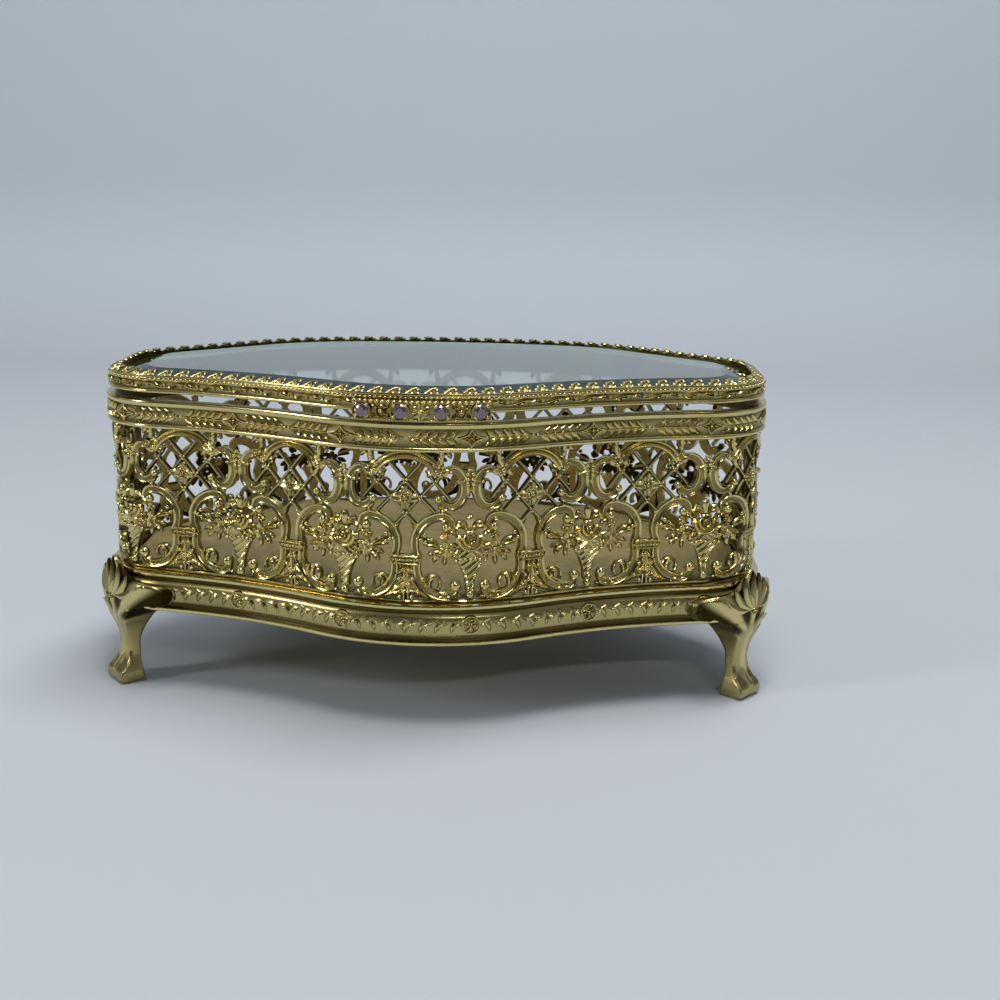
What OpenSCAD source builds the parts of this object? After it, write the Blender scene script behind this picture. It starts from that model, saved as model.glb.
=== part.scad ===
// Gilt filigree casket with a bevelled glass lid.
// +X runs along the length, -Y is the front, +Z is up. The origin is on the table, under the centre.

/* [Plan] */
// Length of the rim from end to end
length = 154; // [150:1:162]
// Depth of the rim from the front bow to the back bow
depth = 96; // [92:1:104]
// Radius of the bow in the middle of the front
front_bow_radius = 50; // [46:1:54]
// Steepest slope of the serpentine front, in degrees
front_slope = 29; // [27:1:31]
// Slope at which the front runs into its corners, in degrees
flank_slope = 10; // [7:1:13]
// Radius of the two front corners
front_corner_radius = 18; // [15:1:20]
// Radius of the two back corners
back_corner_radius = 16; // [13:1:19]
// Slope of the canted runs beside the back, in degrees
cant_slope = 43; // [41:1:45]
// Radius of the two back shoulders
shoulder_radius = 45; // [40:1:50]
// Radius of the bow of the back
back_bow_radius = 150; // [140:2:170]
// Half of the width of the bow of the back
back_bow_half = 31; // [28:1:34]

/* [Base and feet] */
// Clear height under the base moulding
foot_height = 19; // [16:0.5:22]
// Height of the base moulding
base_height = 9.4; // [8.5:0.1:11]
// How far the toes flare beyond the rim line
toe_reach = 3.4; // [2.5:0.1:4.5]
// Half of the width of a foot's knee, measured round the corner
knee_half = 14.5; // [12:0.5:16]
// Thickness of the floor plate
floor_t = 0.8; // [0.6:0.1:1.2]
// Thickness of the lining board
board_t = 1.5; // [1:0.1:2]
// Height of the lining pad at its edge
pad_edge = 2.4; // [2:0.1:3.2]
// Extra height of the lining pad in its middle
pad_crown = 1.3; // [0.6:0.1:2]

/* [Filigree wall] */
// Height of the pierced wall
wall_height = 33.8; // [30:0.2:38]
// Thickness of the pierced wall
wall_t = 1.4; // [1.2:0.1:2]
// How far the wall stands back from the rim line
wall_inset = 1.1; // [0.8:0.1:1.6]
// Width of a scroll bar
bar = 1.3; // [1.2:0.05:1.6]
// Width of a lattice bar
lattice_bar = 0.95; // [0.9:0.05:1.2]

/* [Rim and lid] */
// Height of the rim band
rim_height = 6.3; // [5.5:0.1:7.5]
// Thickness of the rim band
rim_t = 2.9; // [2.7:0.1:3.4]
// Height of the lid band
lid_height = 3.5; // [3:0.1:4.5]
// Thickness of the lid band
lid_t = 1.4; // [1.2:0.1:1.8]
// Gap between the lid and the rim at the hinge
lid_gap = 0.4; // [0.3:0.05:0.6]
// How far the thumb bar's lip holds up the front of the lid
lid_lift = 1.65; // [1.4:0.05:2]
// Height of the claws that stand round the glass
claw_height = 1.75; // [1.4:0.05:2.2]
// Spacing of the claws
claw_pitch = 4.05; // [3.8:0.05:4.6]
// Thickness of the glass
glass_t = 3.2; // [2.8:0.1:4]
// Thickness that the bevel leaves at the edge of the glass
glass_edge = 1.5; // [1:0.1:2]
// Width of the bevel
bevel = 7; // [5:0.5:9]

/* [Thumb bar] */
// Half of the length of the thumb bar
bar_half = 14.2; // [13.5:0.1:15.5]
// Height of the thumb bar
bar_height = 4.6; // [4.4:0.1:5.4]
// Thickness of the thumb bar
bar_t = 1.1; // [1:0.05:1.3]
// Diameter of a crystal
crystal_d = 3.4; // [3:0.1:3.6]

/* [Hinge] */
// Half of the length of the hinge
hinge_half = 12; // [10:0.5:14]
// Outer radius of the hinge knuckles
knuckle_r = 1.2; // [1.1:0.05:1.3]
// Radius of the hinge pin
pin_r = 0.6; // [0.5:0.05:0.7]
// Running clearance of the pin, on the radius
pin_clearance = 0.05; // [0.03:0.01:0.08]
// Widest opening of the lid, in degrees, where its stop lug meets the lower leaf
open_angle = 100; // [95:1:105]

/* [Hidden] */
$fn = 72;

gilt = "#b89a4a";
old_gilt = "#a5873c";
satin = "#b39a6b";
card = "#8d7b5c";
clear_glass = "#a9c4bf";
lilac = "#cfc6d8";

// Heights, from the table up
base_top = foot_height + base_height;
ledge_top = base_top - 3.9;
floor_top = ledge_top + floor_t;
board_top = floor_top + board_t;
rim_bottom = base_top + wall_height;
rim_top = rim_bottom + rim_height;
lid_bottom = rim_top + lid_gap;
lid_top = lid_bottom + lid_height;

// Clearances between pieces of one body
seat_gap = 0.1;
side_gap = 0.3;
seam = 0.1;

// ---- The plan: arcs and straights from the front bow round to the back ----

wall_line = -wall_inset - wall_t / 2;
half_length = length / 2;
bow_half = front_bow_radius * sin(front_slope);
corner_x = half_length - front_corner_radius * (1 - sin(flank_slope));
flank_radius = (corner_x - bow_half) / (sin(front_slope) - sin(flank_slope));
back_bow_angle = asin(back_bow_half / back_bow_radius);
shoulder_x = back_bow_half + shoulder_radius * (sin(cant_slope) - sin(back_bow_angle));
cant_x = half_length - back_corner_radius * (1 - sin(cant_slope));
cant_length = (cant_x - shoulder_x) / cos(cant_slope);
front_drop = front_bow_radius * (1 - cos(front_slope))
  + flank_radius * (cos(flank_slope) - cos(front_slope))
  + front_corner_radius * cos(flank_slope);
back_drop = back_bow_radius * (1 - cos(back_bow_angle))
  + shoulder_radius * (cos(back_bow_angle) - cos(cant_slope))
  + cant_length * sin(cant_slope)
  + back_corner_radius * cos(cant_slope);
end_length = depth - front_drop - back_drop;

// One half of the plan as [radius, turn]; a negative radius curves the other way.
// A radius of 0 is a straight run of that length.
half_plan = [
  [front_bow_radius, front_slope],
  [-flank_radius, front_slope - flank_slope],
  [front_corner_radius, 90 - flank_slope],
  [0, end_length],
  [back_corner_radius, 90 - cant_slope],
  [0, cant_length],
  [shoulder_radius, cant_slope - back_bow_angle],
  [back_bow_radius, back_bow_angle]
];
runs = len(half_plan);
plan = [for (i = [0 : 2 * runs - 1]) half_plan[i < runs ? i : 2 * runs - 1 - i]];

function is_arc(run) = run[0] != 0;
function turn(run) = is_arc(run) ? sign(run[0]) * run[1] : 0;
function run_length(run) = is_arc(run) ? abs(run[0] + wall_line) * run[1] * PI / 180 : run[1];
function outward(heading) = [sin(heading), -cos(heading)];
function along(heading) = [cos(heading), sin(heading)];
function centre(at, run) = [at[0], at[1]] - run[0] * outward(at[2]);

// The place after a share f of a run: [x, y, heading], on a line offset outward by d
function place(at, run, f, d = 0) =
  let (heading = at[2] + f * turn(run),
       xy = is_arc(run)
         ? centre(at, run) + (run[0] + d) * outward(heading)
         : [at[0], at[1]] + f * run[1] * along(heading) + d * outward(heading))
  [xy[0], xy[1], heading];

// The start of each run, and the distance to it along the wall's middle line
starts = [for (i = 0, at = [0, -depth / 2, 0]; i < len(plan);
               at = place(at, plan[i], 1), i = i + 1) at];
marks = [for (i = 0, s = 0; i <= len(plan); s = s + (i < len(plan) ? run_length(plan[i]) : 0),
              i = i + 1) s];
wall_length = marks[len(plan)];

function wrap(s) = s - wall_length * floor(s / wall_length);
function run_at(s, i = 0) = i >= len(plan) - 1 || s < marks[i + 1] ? i : run_at(s, i + 1);
function plan_at(s, d = 0) =
  let (w = wrap(s), i = run_at(w))
  place(starts[i], plan[i], (w - marks[i]) / (marks[i + 1] - marks[i]), d);

// The whole plan as a flat shape, offset outward by d: a point every few degrees of each arc
arc_step = 4;
module region(d) polygon([
  for (i = [0 : len(plan) - 1])
    let (steps = is_arc(plan[i]) ? ceil(plan[i][1] / arc_step) : 1)
      for (k = [0 : steps - 1]) let (p = place(starts[i], plan[i], k / steps, d)) [p[0], p[1]]
]);

// The strip between two lines parallel to the plan
module ring(outer, inner) difference() {
  region(outer);
  region(inner);
}

// A band made of stacked rings: each layer is [bottom, top, outward offset]
module band(layers, inner)
  for (layer = layers)
    translate([0, 0, layer[0]]) linear_extrude(layer[1] - layer[0]) ring(layer[2], inner);

// The part of the plan's neighbourhood between the distances s0 and s1
wedge_reach = 9;
module wedge(s0, s1) {
  steps = ceil((s1 - s0) / 4);
  polygon([
    for (i = [0 : steps]) let (p = plan_at(s0 + (s1 - s0) * i / steps, wedge_reach)) [p[0], p[1]],
    for (i = [steps : -1 : 0]) let (p = plan_at(s0 + (s1 - s0) * i / steps, -wedge_reach)) [p[0], p[1]]
  ]);
}

// Puts a piece on the plan: its x points outward, its y runs along the wall
module on_plan(s, d = 0) {
  at = plan_at(s, d);
  translate([at[0], at[1], 0]) rotate([0, 0, at[2] - 90]) children();
}

// A solid lofted through rings round the plan. Each ring is [offset, height].
plan_sides = 144;
module lofted(rings) {
  last = len(rings) - 1;
  polyhedron(
    [for (r = rings, k = [0 : plan_sides - 1])
      let (p = plan_at(k * wall_length / plan_sides, r[0])) [p[0], p[1], r[1]]],
    [
      [for (k = [0 : plan_sides - 1]) k],
      for (r = [0 : last - 1], k = [0 : plan_sides - 1])
        let (n = (k + 1) % plan_sides, low = r * plan_sides, high = low + plan_sides)
          each [[low + k, high + k, high + n], [low + k, high + n, low + n]],
      [for (k = [plan_sides - 1 : -1 : 0]) last * plan_sides + k]
    ]);
}

// ---- The lid's seat: it turns on the hinge and rests on the thumb bar's lip ----

hinge_y = depth / 2 + knuckle_r + side_gap;
hinge_z = rim_top + 0.8;
seat_angle = asin(lid_lift / (hinge_y + depth / 2));

module seated()
  translate([0, hinge_y, hinge_z]) rotate([-seat_angle, 0, 0]) translate([0, -hinge_y, -hinge_z])
    children();

// A cubic curve through two ends, with two handles
function curve(a, b, c, d, steps = 8) = [for (i = [0 : steps]) let (t = i / steps)
  pow(1 - t, 3) * a + 3 * t * pow(1 - t, 2) * b + 3 * t * t * (1 - t) * c + t * t * t * d];

// ---- Base, floor and lining ----

base_inner = -3.6;
ledge_reach = 3.4;
ledge_t = 1;
bead_h = 1.1;
fillet_h = 0.9;
belly_h = base_height - 2 * bead_h - 2 * fillet_h;

// A bead, a fillet, a swelling belly, a fillet and a bead
module base_moulding() color(old_gilt) {
  belly = foot_height + bead_h + fillet_h;
  band([
    [foot_height, foot_height + bead_h, -0.1],
    [foot_height + bead_h, belly, -0.9],
    [belly, belly + 0.2 * belly_h, -0.2],
    [belly + 0.2 * belly_h, belly + 0.8 * belly_h, 0.3],
    [belly + 0.8 * belly_h, belly + belly_h, -0.2],
    [belly + belly_h, base_top - bead_h, -0.9],
    [base_top - bead_h, base_top, 0.2]
  ], base_inner);
  band([[ledge_top - ledge_t, ledge_top, base_inner + 0.5]], base_inner - ledge_reach);
}

module floor_plate() color(old_gilt)
  translate([0, 0, ledge_top]) linear_extrude(floor_t) region(base_inner - side_gap);

module lining_board() color(card)
  translate([0, 0, floor_top]) linear_extrude(board_t) region(base_inner - side_gap - 0.1);

// The pad is drawn in at its foot, swells at its side and rises to a low crown.
pad_sides = 96;
pad_inset = base_inner - side_gap - 0.4;
// Each ring of the pad: inset from the plan, share of the edge height, share of the crown
pad_rings = [[-0.5, 0, 0], [0, 0.3, 0], [0, 0.6, 0], [-0.7, 0.88, 0], [-2.4, 1, 0.08],
             [-7, 1.04, 0.35], [-14, 1.05, 0.7]];

function pad_point(ring, k) = let (p = plan_at(k * wall_length / pad_sides, pad_inset + ring[0]))
  [p[0], p[1], board_top + pad_edge * ring[1] + pad_crown * ring[2]];
pad_last = len(pad_rings) - 1;
pad_ridge = len(pad_rings) * pad_sides;
// The innermost ring closes on the nearest of three points along the top
function ridge_of(k) = let (x = pad_point(pad_rings[pad_last], k % pad_sides)[0])
  pad_ridge + (x < -0.3 * half_length ? 0 : x > 0.3 * half_length ? 2 : 1);

module lining_pad() color(satin) {
  points = [
    for (ring = pad_rings, k = [0 : pad_sides - 1]) pad_point(ring, k),
    for (share = [-0.45, 0, 0.45]) [share * half_length, 0, board_top + pad_edge * 1.05 + pad_crown]
  ];
  faces = [
    [for (k = [0 : pad_sides - 1]) k],
    for (r = [0 : pad_last - 1], k = [0 : pad_sides - 1])
      let (n = (k + 1) % pad_sides, low = r * pad_sides, high = low + pad_sides)
        each [[low + k, high + k, high + n], [low + k, high + n, low + n]],
    for (k = [0 : pad_sides - 1])
      let (n = (k + 1) % pad_sides, ring = pad_last * pad_sides)
        each [[ring + k, ridge_of(k), ring + n],
              if (ridge_of(k) != ridge_of(n)) [ring + n, ridge_of(k), ridge_of(n)]]
  ];
  polyhedron(points, faces);
}

// ---- Feet: an acanthus knee round the corner, on a scrolled leg with a flared toe ----

knee_top = base_top + 2.6;
knee_bottom = foot_height - 2;
knee_back = 0.3 + 0.25;
ankle_z = 0.5 * foot_height;
ankle_half = 2.8;
sole_half = 4.2;

// Seen from outside the corner: x runs round it
module foot_front() {
  side = concat(
    curve([0, knee_top], [2.4, knee_top - 1], [2.6, base_top - 1.5], [6.5, base_top - 2.2]),
    curve([6.5, base_top - 2.2], [10, base_top - 2.6], [knee_half, base_top - 2], [knee_half, base_top - 5]),
    curve([knee_half, base_top - 5], [knee_half, foot_height + 1], [knee_half - 3, foot_height + 0.6],
          [knee_half - 4, foot_height + 1.6]),
    curve([knee_half - 4, foot_height + 1.6], [6, foot_height], [ankle_half, ankle_z + 5],
          [ankle_half, ankle_z]),
    curve([ankle_half, ankle_z], [ankle_half, ankle_z - 4], [sole_half, 4], [sole_half, 1.6]),
    [[sole_half - 0.6, 0], [0, 0]]);
  polygon(side);
  mirror([1, 0]) polygon(side);
}

// Seen from the side: x points outward from the rim line
module foot_side() {
  polygon(concat(
    curve([-6.5, foot_height], [-5, foot_height - 4], [-3, ankle_z + 3], [-2.7, ankle_z]),
    curve([-2.7, ankle_z], [-2.4, ankle_z - 4], [-2.2, 3], [-3.4, 0]),
    [[toe_reach - 1, 0]],
    curve([toe_reach - 1, 0], [toe_reach + 0.4, 0.3], [toe_reach + 0.2, 3.4], [toe_reach - 1.6, 4.2]),
    curve([toe_reach - 1.6, 4.2], [0.4, 5.4], [0, ankle_z - 1], [0.3, ankle_z + 1]),
    curve([0.3, ankle_z + 1], [0.7, ankle_z + 5], [2.4, foot_height - 4], [2.5, foot_height])));
}

module knee_section() {
  polygon(concat(
    [[knee_back, knee_bottom]],
    curve([knee_back + 1, knee_bottom], [3.1, foot_height], [3.6, base_top - 5], [2.1, base_top - 1]),
    curve([2.1, base_top - 1], [1.5, base_top + 0.8], [2.2, knee_top], [knee_back + 0.9, knee_top]),
    [[knee_back, knee_top]]));
}

module foot_outline()
  translate([-30, 0, 0]) rotate([90, 0, 90]) linear_extrude(60) foot_front();

// The knee wraps the arc of run i; a left foot is the mirror image of its right one
module foot(i) {
  s = (marks[i] + marks[i + 1]) / 2;
  at = plan_at(s);
  sweep_angle = 2 * (knee_half + 3) / plan[i][0] * 180 / PI;
  on_plan(s) intersection() {
    foot_outline();
    translate([0, 10, 0]) rotate([90, 0, 0]) linear_extrude(20) foot_side();
  }
  intersection() {
    translate(centre(starts[i], plan[i])) rotate([0, 0, at[2] - 90 - sweep_angle / 2])
      rotate_extrude(angle = sweep_angle) translate([plan[i][0], 0]) knee_section();
    on_plan(s) foot_outline();
  }
}

front_foot_run = 2;
back_foot_run = 6;

module foot_front_right() color(gilt) foot(front_foot_run);
module foot_front_left() color(gilt) mirror([1, 0, 0]) foot(front_foot_run);
module foot_back_right() color(gilt) foot(back_foot_run);
module foot_back_left() color(gilt) mirror([1, 0, 0]) foot(back_foot_run);

// ---- The pierced filigree wall ----
// The pattern is drawn for a wall 33.8 mm tall and 28 mm a repeat, and scaled to fit.
// u runs from the axis of the flower basket, v up from the foot of the wall.

drawn_height = 33.8;
drawn_pitch = 28;
fit = wall_height / drawn_height;
repeats = round(wall_length / (drawn_pitch * fit));
pitch = wall_length / repeats;
axis = drawn_pitch / 2;
// The rosette axis beside the middle of the front stands left of the clasp
first_rosette = -3.5;

module ring_bar(u, v, r, from, to, w = bar) {
  far = 1.5 * (r + w);
  translate([u, v]) difference() {
    intersection() {
      circle(r + w / 2);
      polygon([[0, 0], for (i = [0 : 6]) let (a = from + (to - from) * i / 6) far * [cos(a), sin(a)]]);
    }
    circle(r - w / 2);
  }
}

module dot(u, v, r) translate([u, v]) circle(r);

module rod(a, b, w = lattice_bar) {
  span = b - a;
  translate(a) rotate(atan2(span[1], span[0])) translate([0, -w / 2]) square([norm(span), w]);
}

// C-scrolls above and below the collar, each with its curled end and ball
module c_scrolls() {
  ring_bar(6, 13.4, 6.1, -40, 90);
  ring_bar(6, 17.5, 2, 85, 240);
  dot(5.9, 16.7, 1);
  ring_bar(5.2, 8.1, 6.3, -92, 18);
  ring_bar(5.2, 4, 2.2, 160, 275);
  dot(3.1, 4, 1.3);
  dot(8.1, 4.1, 1.3);
  translate([axis - 2.7, 8.8]) square([5.4, 2]);
}

// The ear is a taller C beside the bead cluster; the arch spans the rosette
module ear_and_arch() {
  ring_bar(4, 26.5, 2.7, 50, 180);
  translate([1.3 - bar / 2, 24.3]) square([bar, 2.2]);
  ring_bar(4, 24.3, 2.7, 180, 325);
  dot(6.5, 22.6, 1.1);
  dot(5.4, 20.7, 0.9);
  dot(6.6, 29.5, 1.2);
  dot(6.2, 31.2, 1.2);
  translate([5.5, 31]) square([1.3, 3]);
  ring_bar(axis, 25.25, 7.85, 30, 150, 1.5);
  for (v = [26.1, 27.5, 28.9]) dot(0, v, 1.05);
}

// Lattice rods fill the space round the rosette
module lattice() {
  rod([axis, 26.5], [7.4, 19.6]);
  rod([axis, 19.7], [6.4, 27.6]);
  rod([7.6, 26.3], [4.6, 23.1]);
  rod([axis, 19.7], [10.9, 16.6]);
  rod([axis, 26.3], [9.2, 31.2]);
  rod([axis, 26.3], [2 * axis - 10, 22.3]);
  rod([axis, 19.7], [2 * axis - 10, 23.7]);
  dot(axis, 26.3, 0.8);
  dot(axis, 19.7, 0.8);
  dot(7.6, 26.3, 0.9);
  dot(axis, 23, 1.5);
  for (a = [30 : 60 : 330]) translate([axis, 23]) rotate(a) dot(1.7, 0, 0.85);
}

// A woven basket of flowers: rose, side flowers, leaves, berry sprigs and a lily on top
module basket() {
  side = concat([[0, 11.2], [3.6, 10.6]], curve([3.6, 10.6], [2.3, 8.6], [1.3, 6.4], [1.2, 0.2]));
  for (m = [0, 1]) mirror([m, 0]) {
    polygon(concat(side, [[0, 0.2]]));
    polygon([[0, 14], [1.2, 14.6], [3, 17.4], [1.1, 16.6], [0.5, 17.6], [0, 19.4]]);
  }
  dot(0, 13.2, 2.7);
  dot(2.9, 11.2, 1.3);
  dot(5, 12.5, 2);
  dot(7.7, 11.5, 1.15);
  dot(7.2, 13.9, 0.9);
  dot(8.6, 13, 0.95);
  dot(10.1, 13.7, 0.95);
  dot(11.2, 14.2, 0.7);
}

// A leafy spray stands under the collar, on a rail along the foot
module spray_and_rail() {
  dot(axis, 7.4, 1.1);
  dot(axis, 5.5, 1.4);
  dot(axis - 1.5, 3.2, 1.3);
  dot(axis, 1.8, 1.2);
  translate([axis - 0.6, 1]) square([1.2, 8]);
  translate([-2, -1]) square([drawn_pitch / 2 + 4, 2.5]);
}

module half_pattern() {
  c_scrolls();
  ear_and_arch();
  lattice();
  basket();
  spray_and_rail();
}

// The wall's own surface along one run of the plan, a little longer than the run
module wall_shell(i) {
  r = [abs(plan[i][0] - wall_inset), abs(plan[i][0] - wall_inset - wall_t)];
  if (is_arc(plan[i])) translate(centre(starts[i], plan[i])) difference() {
    circle(max(r));
    circle(min(r));
  }
  else polygon([for (e = [[-0.2, -wall_inset], [1.2, -wall_inset], [1.2, -wall_inset - wall_t],
                          [-0.2, -wall_inset - wall_t]])
    let (p = place(starts[i], plan[i], e[0], e[1])) [p[0], p[1]]]);
}

// Where the wall's curvature changes between two places, unless an end is closer than least
least = 1.5;
function changes(from, to) = [for (lap = [-1, 0], j = [1 : len(plan) - 1])
  let (t = marks[j] + lap * wall_length)
  if (plan[j - 1] != plan[j] && t > from + least && t < to - least) t];

// Half a repeat is one casting: the pattern is cut through a piece of the curved wall.
// Castings are soldered edge to edge, on the axes of the baskets and of the rosettes
// and where the wall's curvature changes.
module half_repeat(s, side) {
  quarter = side * pitch / 4;
  from = s + (side < 0 ? -pitch / 2 : 0);
  ends = concat([from], changes(from, from + pitch / 2), [from + pitch / 2]);
  for (n = [1 : len(ends) - 1]) intersection() {
    translate([0, 0, base_top]) linear_extrude(wall_height) intersection() {
      wall_shell(run_at(wrap((ends[n - 1] + ends[n]) / 2)));
      wedge(ends[n - 1] + seam / 2, ends[n] - seam / 2);
    }
    on_plan(s + quarter, wall_line)
      translate([-4, -quarter, base_top]) rotate([90, 0, 90]) linear_extrude(9)
        mirror([side > 0 ? 0 : 1, 0]) scale([fit, fit]) half_pattern();
  }
}

module filigree(first, count)
  for (k = [first : first + count - 1], side = [-1, 1])
    half_repeat(first_rosette + (k + 0.5) * pitch, side);

// Repeats are numbered round the plan from the rosette beside the clasp
front_repeats = 6;
end_repeats = 2;
first_front = -3;
first_right = first_front + front_repeats;
first_back = first_right + end_repeats;
first_left = repeats + first_front - 1;

module front_filigree() color(gilt) filigree(first_front, front_repeats);
module right_filigree() color(gilt) filigree(first_right, end_repeats);
module back_filigree() color(gilt) filigree(first_back, first_left - first_back);
module left_filigree() color(gilt) filigree(first_left, 1);

// ---- Rim band ----

module rim_band() color(gilt) band([
  [rim_bottom, rim_bottom + 1.1, 0],
  [rim_bottom + 1.1, rim_top - 1.4, -0.45],
  [rim_top - 1.4, rim_top - 0.9, -0.2],
  [rim_top - 0.9, rim_top, 0]
], -rim_t);

// ---- Hinge ----

leaf_t = 0.9;
leaf_drop = 5;
knuckle_share = 0.42;
centre_half = knuckle_share * hinge_half;
hinge_side_gap = 0.2;
pin_head = 0.5;
bore_r = pin_r + pin_clearance;

module knuckle(from, to, section = []) {
  translate([from, hinge_y, hinge_z]) rotate([90, 0, 90]) difference() {
    linear_extrude(to - from) {
      circle(knuckle_r);
      if (len(section) > 0) polygon([for (p = section) p - [hinge_y, hinge_z]]);
    }
    translate([0, 0, -1]) cylinder(r = bore_r, h = to - from + 2);
  }
}

back_y = depth / 2;

// Cuts a leaf so that its inner face follows the bow of the band behind it
module beyond_band(d)
  difference() {
    children();
    translate([0, back_y - back_bow_radius, rim_bottom]) cylinder(r = back_bow_radius + d, h = 30, $fn = 1440);
  }

module hinge_lower_leaf() color(gilt) {
  notch_top = hinge_z - knuckle_r - side_gap;
  beyond_band(0.05) {
    translate([-hinge_half, back_y - 2, rim_top - leaf_drop])
      cube([2 * hinge_half, 2 + leaf_t, notch_top - rim_top + leaf_drop]);
    for (m = [0, 1]) mirror([m, 0, 0])
      translate([centre_half + hinge_side_gap, back_y - 2, rim_top - leaf_drop])
        cube([hinge_half - centre_half - hinge_side_gap, 2 + leaf_t, leaf_drop - 0.2]);
  }
  for (m = [0, 1]) mirror([m, 0, 0])
    knuckle(centre_half + hinge_side_gap, hinge_half,
      [[back_y + 0.1, rim_top - 1.6], [back_y + leaf_t, rim_top - 1.6], [hinge_y + knuckle_r, hinge_z],
       [hinge_y - knuckle_r, hinge_z]]);
}

module hinge_pin() color(old_gilt)
  translate([-hinge_half - pin_head, hinge_y, hinge_z]) rotate([0, 90, 0]) {
    cylinder(r = pin_r, h = 2 * (hinge_half + pin_head));
    cylinder(r = pin_r + 0.25, h = pin_head - 0.1);
    translate([0, 0, 2 * hinge_half + pin_head + 0.1]) cylinder(r = pin_r + 0.25, h = pin_head - 0.1);
  }

// The lug on the middle knuckle meets the notched leaf when the lid is open
stop_r = knuckle_r + 0.75;
stop_half = 10;
leaf_edge = atan2(-knuckle_r - side_gap, back_y + leaf_t - hinge_y);
stop_direction = leaf_edge + open_angle + stop_half + 6;

module hinge_upper_leaf() color(gilt) seated() {
  leaf_bottom = hinge_z + knuckle_r + 0.45;
  beyond_band(-0.55)
    translate([-hinge_half, back_y - 3, leaf_bottom])
      cube([2 * hinge_half, 3 + leaf_t - 0.5, lid_top - leaf_bottom]);
  beyond_band(-0.3)
    knuckle(-centre_half, centre_half,
      [[back_y - 0.4, leaf_bottom + 0.2], [back_y + leaf_t - 0.5, leaf_bottom + 0.2],
       [hinge_y + 0.4, hinge_z + knuckle_r * 0.9], [hinge_y - knuckle_r, hinge_z]]);
  translate([-centre_half, hinge_y, hinge_z]) rotate([90, 0, 90]) rotate(stop_direction - stop_half)
    linear_extrude(2 * centre_half) difference() {
      polygon([[0, 0], stop_r * [1, 0], stop_r * [cos(stop_half), sin(stop_half)] * 1.02,
               stop_r * [cos(2 * stop_half), sin(2 * stop_half)]]);
      circle(knuckle_r - 0.1);
    }
}

// ---- Lid: band, glass seat, glass and claws ----

lid_face = -0.9;
lid_inner = lid_face - lid_t;
seat_t = 1.1;
seat_reach = 3.5;
glass_bottom = lid_bottom + 0.2 + seat_t;

module lid_band() color(gilt) seated() band([
  [lid_bottom, lid_bottom + 0.9, -0.5],
  [lid_bottom + 0.9, lid_top - 0.7, lid_face],
  [lid_top - 0.7, lid_top, -0.6]
], lid_inner);

module glass_seat() color(old_gilt) seated()
  band([[glass_bottom - seat_t, glass_bottom, lid_inner - 0.05]], lid_inner - 0.05 - seat_reach);

module glass_panel() color(clear_glass, 0.6) seated() {
  edge = lid_inner - side_gap;
  lofted([[edge, glass_bottom], [edge, glass_bottom + glass_edge], [edge - bevel, glass_bottom + glass_t]]);
}

claws = round(wall_length / claw_pitch);
claw_lean = 38;
strip_t = 0.9;
strip_height = 0.5;

module claw() {
  reach = (claw_height - 0.2) / cos(claw_lean);
  tip = reach + 0.2;
  head = 0.95;
  rotate([0, -claw_lean, 0]) translate([-0.3, 0, 0]) rotate([90, 0, 90]) linear_extrude(0.6)
    polygon([[-1.4, -0.3], [1.4, -0.3], [0.6, 0.35 * reach], [head, 0.62 * reach], [0.45, 0.85 * reach],
             [0, tip], [-0.45, 0.85 * reach], [-head, 0.62 * reach], [-0.6, 0.35 * reach]]);
}

module crown_gallery() color(gilt) seated() {
  band([[lid_top, lid_top + strip_height, lid_face - 0.15]], lid_face - 0.15 - strip_t);
  for (k = [0 : claws - 1])
    on_plan((k + 0.5) * wall_length / claws, lid_face - 0.6)
      translate([0, 0, lid_top + strip_height - 0.1]) claw();
}

// ---- Thumb bar, its crystals and its cast ornaments ----

bar_bottom = rim_top + side_gap - lid_lift;
bar_back = -0.45;
bar_face = bar_back + bar_t;
bar_middle = bar_bottom + bar_height / 2;
collet_h = 0.7;
lip_t = 0.8;
lip_reach = 1.6;
crystal_places = [-12.1, -4.2, 4.2, 12.1];
oval_place = 8.1;

module thumb_bar() color(gilt) seated() {
  translate([0, 0, bar_bottom]) linear_extrude(bar_height) intersection() {
    ring(bar_face, bar_back);
    wedge(-bar_half, bar_half);
  }
  translate([0, 0, bar_bottom]) linear_extrude(lip_t) intersection() {
    ring(bar_back + 0.3, bar_back - lip_reach);
    wedge(-bar_half, bar_half);
  }
  for (s = crystal_places) on_plan(s, bar_face) translate([-0.3, 0, bar_middle]) rotate([0, 90, 0])
    difference() {
      cylinder(d = crystal_d + 0.9, h = collet_h + 0.3);
      translate([0, 0, 0.3]) cylinder(d = crystal_d + 2 * seat_gap, h = collet_h + 1);
    }
}

module crystal(s) color(lilac) seated()
  on_plan(s, bar_face) translate([0, 0, bar_middle]) rotate([0, 90, 0])
    rotate_extrude() polygon([[0, 0], [0.5 * crystal_d, 0.55], [0.5 * crystal_d, 0.8],
                              [0.3 * crystal_d, 1.5], [0, 1.5]]);

module crystal_1() crystal(crystal_places[0]);
module crystal_2() crystal(crystal_places[1]);
module crystal_3() crystal(crystal_places[2]);
module crystal_4() crystal(crystal_places[3]);

module bar_flower() color(gilt) seated()
  on_plan(0, bar_face) translate([0, 0, bar_middle]) rotate([0, 90, 0]) {
    cylinder(r = 0.75, h = 1.5);
    for (a = [0 : 72 : 288]) rotate(a) translate([1.05, 0, 0]) cylinder(r = 0.7, h = 1);
  }

module bar_oval(s) color(gilt) seated()
  on_plan(s, bar_face) translate([0, 0, bar_middle]) rotate([0, 90, 0])
    for (v = [-0.9, 0, 0.9]) translate([v, 0, 0]) cylinder(r = 1.1 - 0.25 * abs(v), h = 1 - 0.3 * abs(v));

module bar_oval_left() bar_oval(-oval_place);
module bar_oval_right() bar_oval(oval_place);

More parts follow.
